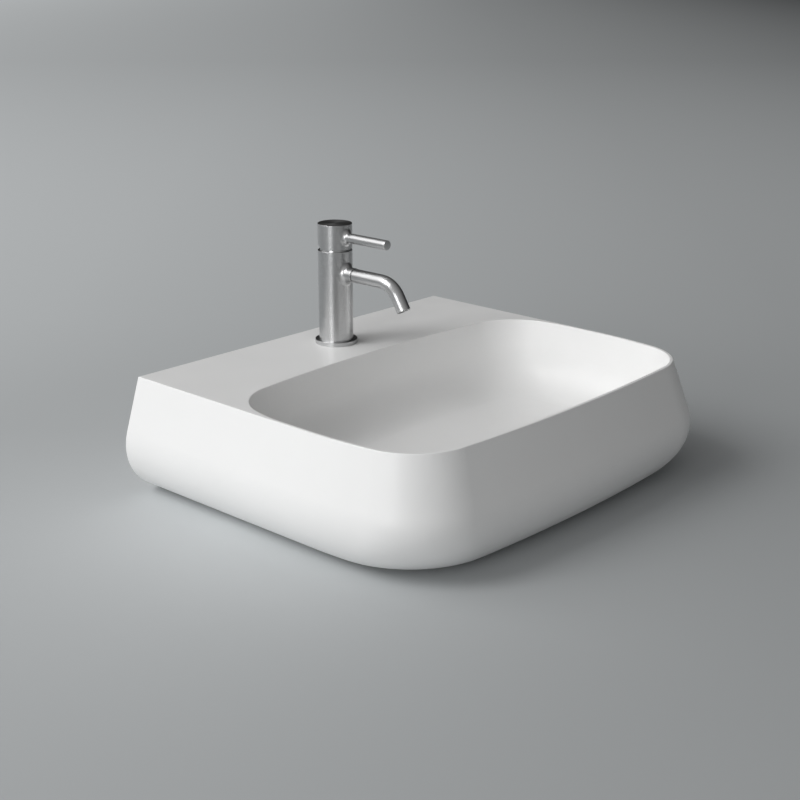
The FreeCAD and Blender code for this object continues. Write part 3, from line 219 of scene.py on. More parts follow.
@dataclass
class EffectShelf:
    """Builds each shared effect once and places it where a finish asks for it."""

    built: dict[Effect, bpy.types.NodeTree] = field(default_factory=dict)
    cloud_detail: float = 3.0
    cloud_span: Spot = (0.32, 0.68)
    line_detail: float = 2.0
    line_span: Spot = (0.25, 0.75)
    line_breaks: float = 60.0
    grain_detail: float = 2.0
    edge_span: Spot = (0.995, 0.9)
    edge_samples: int = 4

    def place(self, bench: NodeBench, effect: Effect, inputs: dict) -> bpy.types.Node:
        """Place one effect in a material.

        Args:
            bench: bench of the material's tree.
            effect: which effect.
            inputs: values or sockets for its inputs.

        Returns:
            The group node.
        """
        return bench.place("ShaderNodeGroup", inputs, node_tree=self.group(effect))

    def group(self, effect: Effect) -> bpy.types.NodeTree:
        """Node group of an effect, built on its first use.

        Args:
            effect: which effect.

        Returns:
            The group's tree.
        """
        if effect not in self.built:
            makers = {
                Effect.CLOUDS: self.make_clouds,
                Effect.TURNING: self.make_turning,
                Effect.GRAIN: self.make_grain,
                Effect.EDGES: self.make_edges,
            }
            tree = bpy.data.node_groups.new(effect.value, "ShaderNodeTree")
            makers[effect](tree)
            self.built[effect] = tree
        return self.built[effect]

    @staticmethod
    def sockets(tree: bpy.types.NodeTree, inputs: dict[str, float], outputs: tuple[str, ...]
                ) -> tuple[NodeBench, bpy.types.NodeOutputs, bpy.types.NodeInputs]:
        """Give a group its named number sockets.

        Args:
            tree: the group.
            inputs: names of the inputs and their first values.
            outputs: names of the outputs.

        Returns:
            The bench, the outputs of the group's input node and the inputs of its output node.
        """
        for name, value in inputs.items():
            socket = tree.interface.new_socket(name, in_out="INPUT", socket_type="NodeSocketFloat")
            socket.default_value = value
        for name in outputs:
            tree.interface.new_socket(name, in_out="OUTPUT", socket_type="NodeSocketFloat")
        bench = NodeBench(tree)
        return bench, bench.place("NodeGroupInput").outputs, bench.place("NodeGroupOutput").inputs

    def make_clouds(self, tree: bpy.types.NodeTree) -> None:
        """Soft blotches between two values.

        Args:
            tree: the group to fill.
        """
        bench, given, result = self.sockets(tree, {"Scale": 20.0, "Low": 0.95, "High": 1.0}, ("Value",))
        blotches = bench.noise(bench.object_place(), given["Scale"], self.cloud_detail)
        value = bench.ranged(blotches, self.cloud_span, given["Low"], given["High"])
        tree.links.new(value, result["Value"])

    def make_turning(self, tree: bpy.types.NodeTree) -> None:
        """Fine lines left by a turning or brushing tool, close together and long.

        Args:
            tree: the group to fill.
        """
        inputs = {"Across": 0.0, "Along": 0.0, "Lines": 9000.0, "Low": 0.25, "High": 0.4}
        bench, given, result = self.sockets(tree, inputs, ("Roughness", "Height"))
        across = bench.maths("MULTIPLY", given["Across"], given["Lines"])
        along = bench.maths("MULTIPLY", given["Along"], self.line_breaks)
        vector = bench.place("ShaderNodeCombineXYZ", {"X": across, "Y": along}).outputs[0]
        lines = bench.noise(vector, 1.0, self.line_detail)
        rough = bench.ranged(lines, self.line_span, given["Low"], given["High"])
        tree.links.new(rough, result["Roughness"])
        tree.links.new(lines, result["Height"])

    def make_grain(self, tree: bpy.types.NodeTree) -> None:
        """Fine unevenness of a moulded, fired or plated surface.

        Args:
            tree: the group to fill.
        """
        bench, given, result = self.sockets(tree, {"Scale": 800.0}, ("Height",))
        grain = bench.noise(bench.object_place(), given["Scale"], self.grain_detail)
        tree.links.new(grain, result["Height"])

    def make_edges(self, tree: bpy.types.NodeTree) -> None:
        """Mask of edges, where handling keeps metal bright.

        Args:
            tree: the group to fill.
        """
        bench, given, result = self.sockets(tree, {"Width": 0.0005, "Amount": 0.5}, ("Mask",))
        bevel = bench.place("ShaderNodeBevel", {"Radius": given["Width"]}, samples=self.edge_samples)
        face = bench.place("ShaderNodeNewGeometry").outputs["Normal"]
        likeness = bench.dot(bevel.outputs["Normal"], face)
        mask = bench.ranged(likeness, self.edge_span, 0.0, given["Amount"])
        tree.links.new(mask, result["Mask"])


# Finishes

@dataclass(frozen=True)
class Finish:
    """One surface finish: a Principled shader fed by the shared effects."""

    slot: Slot
    colour: Colour
    rough_low: float
    rough_high: float
    mottle_scale: float = 18.0
    mottle_low: float = 0.95
    dull_scale_share: float = 3.0
    bump: float = 0.05
    bump_depth: float = 0.0002
    grain_scale: float = 900.0

    def material(self, effects: EffectShelf) -> bpy.types.Material:
        """Make this finish as a material.

        Args:
            effects: shelf of shared effects.

        Returns:
            The material.
        """
        made = bpy.data.materials.new(self.title())
        made.use_nodes = True
        made.node_tree.nodes.clear()
        bench = NodeBench(made.node_tree)
        shader = bench.place("ShaderNodeBsdfPrincipled")
        self.wire(bench, shader, effects)
        bench.place("ShaderNodeOutputMaterial", {"Surface": shader.outputs["BSDF"]})
        return made

    def title(self) -> str:
        """Name of the material."""
        return f"{self.slot.value}_finish"

    def wire(self, bench: NodeBench, shader: bpy.types.Node, effects: EffectShelf) -> None:
        """Feed the shader with a mottled colour, a mottled roughness and a fine grain.

        Args:
            bench: bench of the material's tree.
            shader: the material's Principled shader.
            effects: shelf of shared effects.
        """
        colour, rough = self.mottle(bench, effects)
        bench.tree.links.new(colour, shader.inputs["Base Color"])
        bench.tree.links.new(rough, shader.inputs["Roughness"])
        grain = effects.place(bench, Effect.GRAIN, {"Scale": self.grain_scale})
        self.raise_grain(bench, shader, grain.outputs["Height"])

    def mottle(self, bench: NodeBench, effects: EffectShelf) -> tuple[Socket, Socket]:
        """Colour and roughness with soft blotches.

        Args:
            bench: bench of the material's tree.
            effects: shelf of shared effects.

        Returns:
            The socket with the colour and the socket with the roughness.
        """
        light = {"Scale": self.mottle_scale, "Low": self.mottle_low, "High": 1.0}
        dull_scale = self.mottle_scale * self.dull_scale_share
        dull = {"Scale": dull_scale, "Low": self.rough_low, "High": self.rough_high}
        tone = effects.place(bench, Effect.CLOUDS, light).outputs["Value"]
        rough = effects.place(bench, Effect.CLOUDS, dull).outputs["Value"]
        return bench.tinted(self.colour, tone), rough

    def raise_grain(self, bench: NodeBench, shader: bpy.types.Node, height: Socket) -> None:
        """Turn a height into a bump on the shader's normal.

        Args:
            bench: bench of the material's tree.
            shader: the material's Principled shader.
            height: socket with the height.
        """
        inputs = {"Strength": self.bump, "Distance": self.bump_depth, "Height": height}
        bump = bench.place("ShaderNodeBump", inputs)
        bench.tree.links.new(bump.outputs["Normal"], shader.inputs["Normal"])


@dataclass(frozen=True)
class GlazedCeramic(Finish):
    """White glaze with a satin face, left bare and biscuit coloured under the foot."""

    biscuit: Colour = (0.62, 0.58, 0.52)
    bare_height: float = 0.0012
    bare_fade: float = 0.0008
    glaze_ior: float = 1.5

    def wire(self, bench: NodeBench, shader: bpy.types.Node, effects: EffectShelf) -> None:
        """Feed the shader with the glaze, and with bare clay at the foot.

        Args:
            bench: bench of the material's tree.
            shader: the material's Principled shader.
            effects: shelf of shared effects.
        """
        glaze, gloss = self.mottle(bench, effects)
        grain = effects.place(bench, Effect.GRAIN, {"Scale": self.grain_scale})
        self.raise_grain(bench, shader, grain.outputs["Height"])
        height = bench.place("ShaderNodeSeparateXYZ", {0: bench.object_place()}).outputs["Z"]
        bare = bench.ranged(height, (self.bare_height, self.bare_height + self.bare_fade), 1.0, 0.0)
        bench.tree.links.new(bench.mixed(glaze, self.biscuit, bare), shader.inputs["Base Color"])
        bench.tree.links.new(bench.maths("MAXIMUM", gloss, bare), shader.inputs["Roughness"])
        shader.inputs["IOR"].default_value = self.glaze_ior


@dataclass(frozen=True)
class TurnedMetal(Finish):
    """Metal with fine tool lines and slightly brighter edges."""

    lay: Lay = Lay.ROUND
    axis_place: Place = (0.0, 0.0, 0.0)
    lines: float = 9000.0
    anisotropy: float = 0.6
    quarter_turn: float = 0.25
    edge_polish: float = 0.4

    def title(self) -> str:
        """Name of the material."""
        return f"{self.slot.value}_{self.lay.value}_finish"

    def wire(self, bench: NodeBench, shader: bpy.types.Node, effects: EffectShelf) -> None:
        """Feed the shader with tool lines, a faint mottle and polished edges.

        Args:
            bench: bench of the material's tree.
            shader: the material's Principled shader.
            effects: shelf of shared effects.
        """
        across, along = self.directions(bench)
        inputs = {"Across": across, "Along": along, "Lines": self.lines,
                  "Low": self.rough_low, "High": self.rough_high}
        lines = effects.place(bench, Effect.TURNING, inputs)
        edges = effects.place(bench, Effect.EDGES, {"Amount": self.edge_polish})
        kept = bench.maths("SUBTRACT", 1.0, edges.outputs["Mask"])
        rough = bench.maths("MULTIPLY", lines.outputs["Roughness"], kept)
        bench.tree.links.new(self.mottle(bench, effects)[0], shader.inputs["Base Color"])
        bench.tree.links.new(rough, shader.inputs["Roughness"])
        bench.tree.links.new(self.tangent(bench), shader.inputs["Tangent"])
        self.raise_grain(bench, shader, lines.outputs["Height"])
        shader.inputs["Metallic"].default_value = 1.0
        shader.inputs["Anisotropic"].default_value = self.anisotropy
        turned = 0.0 if self.lay is Lay.LENGTHWISE else self.quarter_turn
        shader.inputs["Anisotropic Rotation"].default_value = turned

    def tangent(self, bench: NodeBench) -> Socket:
        """Direction round the piece.

        Args:
            bench: bench of the material's tree.

        Returns:
            The socket with the direction.
        """
        if self.lay is Lay.LENGTHWISE:
            return bench.place("ShaderNodeTangent", direction_type="UV_MAP", uv_map=UV_NAME).outputs[0]
        return bench.place("ShaderNodeTangent", direction_type="RADIAL", axis="Z").outputs[0]

    def directions(self, bench: NodeBench) -> tuple[Socket, Socket]:
        """Coordinates across the tool lines, running on over flat ends, and along them.

        Args:
            bench: bench of the material's tree.

        Returns:
            Sockets for the way across the lines and the way along them, in metres.
        """
        if self.lay is Lay.LENGTHWISE:
            spot = bench.place("ShaderNodeUVMap", uv_map=UV_NAME).outputs[0]
            parts = bench.place("ShaderNodeSeparateXYZ", {0: spot}).outputs
            return parts["X"], parts["Y"]
        inputs = {0: bench.object_place(), 1: self.axis_place}
        offset = bench.place("ShaderNodeVectorMath", inputs, operation="SUBTRACT").outputs["Vector"]
        height = bench.dot(offset, UPWARD)
        away = bench.apart(offset, bench.tinted(UPWARD, height))
        return bench.maths("ADD", height, away), bench.dot(offset, RIGHTWARD)


@dataclass(frozen=True)
class PlainMetal(Finish):
    """Polished or plated metal with a faint mottle."""

    def wire(self, bench: NodeBench, shader: bpy.types.Node, effects: EffectShelf) -> None:
        """Make the mottled finish a metal."""
        super().wire(bench, shader, effects)
        shader.inputs["Metallic"].default_value = 1.0


@dataclass
class FinishRack:
    """All finishes of the part, made into materials on their first use."""

    effects: EffectShelf = field(default_factory=EffectShelf)
    made: dict[Finish, bpy.types.Material] = field(default_factory=dict)

    ceramic: Finish = GlazedCeramic(
        Slot.CERAMIC, colour=(0.91, 0.91, 0.905), rough_low=0.36, rough_high=0.44,
        mottle_scale=9.0, mottle_low=0.985, bump=0.03, grain_scale=260.0)
    steel_round: Finish = TurnedMetal(
        Slot.BRUSHED_STEEL, colour=(0.58, 0.583, 0.586), rough_low=0.26, rough_high=0.33,
        bump=0.015, axis_place=NodeBox.of("base_rosette").centre())
    steel_lengthwise: Finish = replace(steel_round, lay=Lay.LENGTHWISE)
    polished: Finish = PlainMetal(
        Slot.POLISHED_STEEL, colour=(0.66, 0.66, 0.655), rough_low=0.1, rough_high=0.16,
        mottle_low=0.97, bump=0.02)
    zinc: Finish = PlainMetal(
        Slot.ZINC_STEEL, colour=(0.52, 0.52, 0.5), rough_low=0.3, rough_high=0.45,
        mottle_scale=120.0, mottle_low=0.88)
    brass: Finish = PlainMetal(
        Slot.BRASS, colour=(0.7, 0.54, 0.28), rough_low=0.25, rough_high=0.38,
        mottle_scale=70.0, mottle_low=0.9)
    rubber: Finish = Finish(
        Slot.RUBBER, colour=(0.035, 0.035, 0.037), rough_low=0.6, rough_high=0.75,
        mottle_scale=200.0, mottle_low=0.8, bump=0.1)
    plastic: Finish = Finish(
        Slot.WHITE_PLASTIC, colour=(0.78, 0.78, 0.75), rough_low=0.38, rough_high=0.48,
        mottle_scale=90.0, mottle_low=0.96)
    alumina: Finish = Finish(
        Slot.DISC_CERAMIC, colour=(0.86, 0.84, 0.8), rough_low=0.12, rough_high=0.2,
        mottle_scale=60.0, mottle_low=0.96)

    def dress(self, piece: bpy.types.Object, finish: Finish) -> None:
        """Give a piece one finish, in a material named after the finish's slot.

        Args:
            piece: mesh object, new or from the frame.
            finish: finish to put on it.
        """
        if finish not in self.made:
            self.made[finish] = finish.material(self.effects)
        piece.data.materials.clear()
        piece.data.materials.append(self.made[finish])


# Mesh tools

class Spine:
    """Line that turned pieces are built about."""

    def frame_at(self, along: float) -> tuple[Vector, Vector, Vector]:
        """Middle, way across and way up at a distance along the line."""
        raise NotImplementedError

    def spot(self, along: float, radius: float, angle: float) -> Vector:
        """Place round the line.

        Args:
            along: distance along the line.
            radius: distance from the line.
            angle: angle round the line from the way across, in radians.

        Returns:
            The place.
        """
        middle, across, up = self.frame_at(along)
        return middle + across * (radius * math.cos(angle)) + up * (radius * math.sin(angle))


@dataclass(frozen=True)
class StraightSpine(Spine):
    """Straight line from a start in one direction."""

    start: Vector
    heading: Vector

    def frame_at(self, along: float) -> tuple[Vector, Vector, Vector]:
        """Middle, way across and way up at a distance along the line."""
        return self.start + self.heading * along, RIGHTWARD, self.heading.cross(RIGHTWARD)

    @classmethod
    def upright(cls, x: float, y: float) -> "StraightSpine":
        """Upright line through a place on the floor, so that distances along it are heights."""
        return cls(Vector((x, y, 0.0)), UPWARD)

    @classmethod
    def under(cls, node: str) -> "StraightSpine":
        """Upright line through the middle of a node."""
        middle = NodeBox.of(node).middle()
        return cls.upright(middle.x, middle.y)


@dataclass(frozen=True)
class BentSpine(Spine):
    """Level run to the front, then a bend downwards, then straight on."""

    start: Vector
    run: float
    bend_radius: float
    bend: float

    def frame_at(self, along: float) -> tuple[Vector, Vector, Vector]:
        """Middle, way across and way up at a distance along the line.

        Args:
            along: distance along the line.

        Returns:
            The middle, the way across and the way up.
        """
        level = min(along, self.run)
        turn = min(max(along - self.run, 0.0) / self.bend_radius, self.bend)
        rest = max(along - self.run - self.bend_radius * self.bend, 0.0)
        heading = Vector((0.0, -math.cos(turn), -math.sin(turn)))
        curve = Vector((0.0, -math.sin(turn), math.cos(turn) - 1.0)) * self.bend_radius
        middle = self.start + FORWARD * level + curve + heading * rest
        return middle, RIGHTWARD, heading.cross(RIGHTWARD)


@dataclass(frozen=True)
class Corner:
    """Corner of a turned outline: radius, place along the spine and how far it is eased off."""

    radius: float
    along: float
    ease: float = 0.0

    def spot(self) -> Vector:
        """The corner as a flat point."""
        return Vector((self.radius, self.along))


@dataclass(frozen=True)
class Thread:
    """Screw thread on one stretch of a turned wall."""

    radius: float
    start: float
    end: float
    pitch: float
    depth: float
    rows_per_turn: int = 10
    crest_share: float = 0.2
    slack_share: float = 0.01

    def covers(self, first: Vector, last: Vector) -> bool:
        """Whether an edge of the outline lies on the threaded wall.

        Args:
            first: start of the edge, as radius and place along the spine.
            last: end of the edge.

        Returns:
            True where the edge is threaded.
        """
        off_wall = max(abs(first.x - self.radius), abs(last.x - self.radius))
        on_wall = off_wall < self.depth * self.slack_share
        return on_wall and max(first.y, last.y) > self.start and min(first.y, last.y) < self.end

    def cut(self, along: float, angle: float) -> float:
        """Depth of the thread at one place, shallower towards its ends.

        Args:
            along: place along the spine.
            angle: angle round it, in radians.

        Returns:
            How far the wall is cut back.
        """
        phase = ((along - self.start) / self.pitch - angle / math.tau) % 1.0
        slope = (abs(2.0 * phase - 1.0) - self.crest_share) / (1.0 - 2.0 * self.crest_share)
        fade = min(1.0, (along - self.start) / self.pitch, (self.end - along) / self.pitch)
        return self.depth * min(1.0, max(0.0, slope)) * max(0.0, fade)


@dataclass(frozen=True)
class Profile:
    """Outline that is turned about a spine: all round a ring, or from axis to axis."""

    corners: tuple[Corner, ...]
    closed: bool = True
    longest: float = 0.004
    thread: Thread | None = None
    ease_steps: int = 4

    @classmethod
    def eased_ring(cls, bore: float, radius: float, heights: Spot, ease: float) -> "Profile":
        """Section of a plain ring with its four corners eased off.

        Args:
            bore: radius of the hole.
            radius: outer radius.
            heights: places of the lower and the upper face along the spine.
            ease: how far each corner is eased off.

        Returns:
            The outline.
        """
        low, high = heights
        spots = ((bore, low), (radius, low), (radius, high), (bore, high))
        return cls(tuple(Corner(across, height, ease) for across, height in spots))

    def points(self) -> list[Vector]:
        """Points of the outline, with its corners eased off.

        Returns:
            The points, as radius and place along the spine.
        """
        spots = [corner.spot() for corner in self.corners]
        points = []
        for number, corner in enumerate(self.corners):
            here = spots[number]
            if corner.ease == 0.0:
                points.append(here)
                continue
            first = here + (spots[number - 1] - here).normalized() * corner.ease
            last = here + (spots[(number + 1) % len(spots)] - here).normalized() * corner.ease
            for step in range(self.ease_steps + 1):
                share = step / self.ease_steps
                points.append(first.lerp(here, share).lerp(here.lerp(last, share), share))
        return points

    def rings(self) -> list[Ring]:
        """Rings along the outline, closer together along a thread.

        Returns:
            The rings in order.
        """
        points = self.points()
        ends = points[1:] + points[:1] if self.closed else points[1:]
        rings = []
        for first, last in zip(points, ends):
            thread = self.thread if self.thread and self.thread.covers(first, last) else None
            gap = thread.pitch / thread.rows_per_turn if thread else self.longest
            steps = max(1, math.ceil((last - first).length / gap))
            rings += [self.ring(first.lerp(last, step / steps), thread) for step in range(steps)]
        if not self.closed:
            rings.append(self.ring(points[-1], None))
        return rings

    @staticmethod
    def ring(point: Vector, thread: Thread | None) -> Ring:
        """Ring through one point of the outline, sunk into the thread where there is one.

        Args:
            point: radius and place along the spine.
            thread: thread at that point, if any.

        Returns:
            Function that gives the radius and the place along the spine for an angle.
        """
        def at(angle: float) -> Spot:
            """Radius and place along the spine at one angle."""
            return point.x - (thread.cut(point.y, angle) if thread else 0.0), point.y
        return at


@dataclass
class Workpiece:
    """Mesh in the making, built up from shells round spines."""

    sides: int = 96
    sharp_deg: float = 32.0
    mesh: bmesh.types.BMesh = field(default_factory=bmesh.new)

    def even_angles(self) -> list[float]:
        """Angles at even steps round a spine."""
        return [math.tau * step / self.sides for step in range(self.sides)]

    def turn(self, profile: Profile, spine: Spine) -> "Workpiece":
        """Turn an outline about a spine."""
        return self.skin(profile.rings(), spine, self.even_angles(), profile.closed)

    def skin(self, rings: list[Ring], spine: Spine, angles: list[float], closed: bool) -> "Workpiece":
        """Join rings to one shell, unwrapped in metres round the spine and along the outline.

        Args:
            rings: rings in order along the outline.
            spine: line that they go round.
            angles: angles of the points in each ring.
            closed: whether the last ring joins the first one.

        Returns:
            This workpiece.
        """
        rows = [self.row(ring, spine, angles) for ring in rings]
        spots = [Vector(ring(angles[0])) for ring in rings]
        if closed:
            rows.append(rows[0])
            spots.append(spots[0])
        widest = max(spot.x for spot in spots)
        around = [angle * widest for angle in angles] + [(angles[0] + math.tau) * widest]
        travelled = 0.0
        for number in range(len(rows) - 1):
            reached = travelled + (spots[number + 1] - spots[number]).length
            for side in range(len(angles)):
                self.face(rows[number], rows[number + 1], side, around, (travelled, reached))
            travelled = reached
        return self

    def row(self, ring: Ring, spine: Spine, angles: list[float]) -> Row:
        """Points of one ring, or the one point of a ring that has shrunk to the axis.

        Args:
            ring: the ring.
            spine: line that it goes round.
            angles: angles of its points.

        Returns:
            The new points of the mesh.
        """
        if ring(angles[0])[0] == 0.0:
            angles = angles[:1]
        spots = [(angle, *ring(angle)) for angle in angles]
        return [self.mesh.verts.new(spine.spot(along, radius, angle)) for angle, radius, along in spots]

    def face(self, lower: Row, upper: Row, side: int, around: list[float], heights: Spot) -> None:
        """Add one face between two rings.

        Args:
            lower: points of the first ring.
            upper: points of the next ring.
            side: number of the face round the rings.
            around: distance round the spine at each angle.
            heights: distance along the outline at the two rings.
        """
        layer = self.mesh.loops.layers.uv.get(UV_NAME) or self.mesh.loops.layers.uv.new(UV_NAME)
        marks = {}
        for row, step, height in ((lower, 0, 0), (lower, 1, 0), (upper, 1, 1), (upper, 0, 1)):
            vert = row[(side + step) % len(row)]
            marks.setdefault(vert, (around[side + step], heights[height]))
        for loop in self.mesh.faces.new(marks.keys()).loops:
            loop[layer].uv = marks[loop.vert]

    def piece(self, name: str) -> bpy.types.Object:
        """Close the work on the mesh: outward faces, smooth walls and sharp edges.

        Args:
            name: name of the piece.

        Returns:
            The new object, in the scene.
        """
        bmesh.ops.recalc_face_normals(self.mesh, faces=self.mesh.faces[:])
        for face in self.mesh.faces:
            face.smooth = True
        for edge in self.mesh.edges:
            edge.smooth = edge.calc_face_angle(0.0) < math.radians(self.sharp_deg)
        data = bpy.data.meshes.new(name)
        self.mesh.to_mesh(data)
        self.mesh.free()
        made = bpy.data.objects.new(name, data)
        bpy.context.scene.collection.objects.link(made)
        return made


@dataclass(frozen=True)
class Flare:
    """Rounded root of a round arm on an upright barrel, sunk a little into the barrel's wall."""

    barrel: float
    arm: float
    sweep: float
    sink: float = 0.0004
    steps: int = 8

    def wall(self, radius: float, angle: float) -> float:
        """Distance from the barrel's axis to its wall, beside the arm's middle line."""
        return math.sqrt(self.barrel ** 2 - (radius * math.cos(angle)) ** 2)

    def ring(self, radius: float, height: float) -> Ring:
        """Ring round the arm at a height over the barrel's wall."""
        return lambda angle: (radius, self.wall(radius, angle) + height)

    def rings(self) -> list[Ring]:
        """Rings from inside the barrel's wall out to the straight part of the arm.

        Returns:
            The rings in order.
        """
        rings = [self.ring(self.arm, -self.sink), self.ring(self.arm + self.sweep, -self.sink)]
        for step in range(self.steps + 1):
            turn = math.pi / 2 * (1.0 - step / self.steps)
            radius = self.arm + self.sweep * (1.0 - math.cos(turn))
            rings.append(self.ring(radius, self.sweep * (1.0 - math.sin(turn))))
        return rings


@dataclass(frozen=True)
class HexNut:
    """Six-sided nut with chamfered corners and a countersunk bore."""

    node: str
    bore: float
    sink: float
    face_share: float = 0.97
    chamfer_deg: float = 30.0
    side_deg: float = 60.0
    sharp_deg: float = 20.0

    def wall(self, angle: float) -> float:
        """Distance of the six-sided wall at an angle, with corners to the left and right."""
        side = math.radians(self.side_deg)
        return NodeBox.of(self.node).radius() / math.cos(angle % side - side / 2)

    def ring(self, edge: float, inwards: float) -> Ring:
        """Ring where the chamfer meets the wall.

        Args:
            edge: height of the nut's face.
            inwards: 1 for the lower face, -1 for the upper one.

        Returns:
            Function that gives the radius and the height for an angle.
        """
        slope = inwards * math.tan(math.radians(self.chamfer_deg))
        face = NodeBox.of(self.node).radius() * self.face_share
        return lambda angle: (self.wall(angle), edge + (self.wall(angle) - face) * slope)

    def piece(self, name: str) -> bpy.types.Object:
        """Build the nut's mesh in its node's place.

        Args:
            name: name of the piece.

        Returns:
            The nut.
        """
        box = NodeBox.of(self.node)
        low, high = box.low.z, box.high.z
        face = box.radius() * self.face_share
        bored = [(self.bore, low + self.sink), (self.bore + self.sink, low), (face, low)]
        capped = [(face, high), (self.bore + self.sink, high), (self.bore, high - self.sink)]
        rings = [Profile.ring(Vector(spot), None) for spot in bored]
        rings += [self.ring(low, 1.0), self.ring(high, -1.0)]
        rings += [Profile.ring(Vector(spot), None) for spot in capped]
        work = Workpiece(sharp_deg=self.sharp_deg)
        return work.skin(rings, StraightSpine.under(self.node), work.even_angles(), True).piece(name)


@dataclass(frozen=True)
class SoftRing:
    """Gasket or washer with rounded edges, in the place of an upright ring."""

    node: str
    bore: float
    ease: float

    def piece(self, name: str) -> bpy.types.Object:
        """Build the ring's mesh in its node's place.

        Args:
            name: name of the piece.

        Returns:
            The ring.
        """
        box = NodeBox.of(self.node)
        section = Profile.eased_ring(self.bore, box.radius(), (box.low.z, box.high.z), self.ease)
        return Workpiece().turn(section, StraightSpine.under(self.node)).piece(name)


# Sub-assemblies

@dataclass
class Workshop:
    """Dresses pieces and hands them over to the frame."""

    rack: FinishRack = field(default_factory=FinishRack)

    def keep(self, finish: Finish, *nodes: str) -> None:
        """Dress nodes that keep the mesh of their solid.

        Args:
            finish: finish to put on them.
            nodes: names of the nodes.
        """
        for node in nodes:
            self.rack.dress(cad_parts[node], finish)
            LOG.info("%s keeps its solid, in %s", node, finish.title())

    def fit(self, piece: bpy.types.Object, finish: Finish, body: Body, node: str) -> None:
        """Dress a finer piece, put it on its body and let it stand for a node.

        Args:
            piece: the finer piece.
            finish: finish to put on it.
            body: body that carries it.
            node: node that it stands for.
        """
        self.rack.dress(piece, finish)
        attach(piece, body.value)
        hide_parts(node)
        LOG.info("%s stands for %s, in %s", piece.name, node, finish.title())


class SubAssembly:
    """Group of pieces that are built and dressed together."""

    def build(self, shop: Workshop) -> None:
        """Build and dress the pieces."""
        raise NotImplementedError


@dataclass
class Basin(SubAssembly):
    """The ceramic casting, which keeps the mesh of its solid."""

    def build(self, shop: Workshop) -> None:
        """Glaze the casting."""
        shop.keep(shop.rack.ceramic, "basin_body")


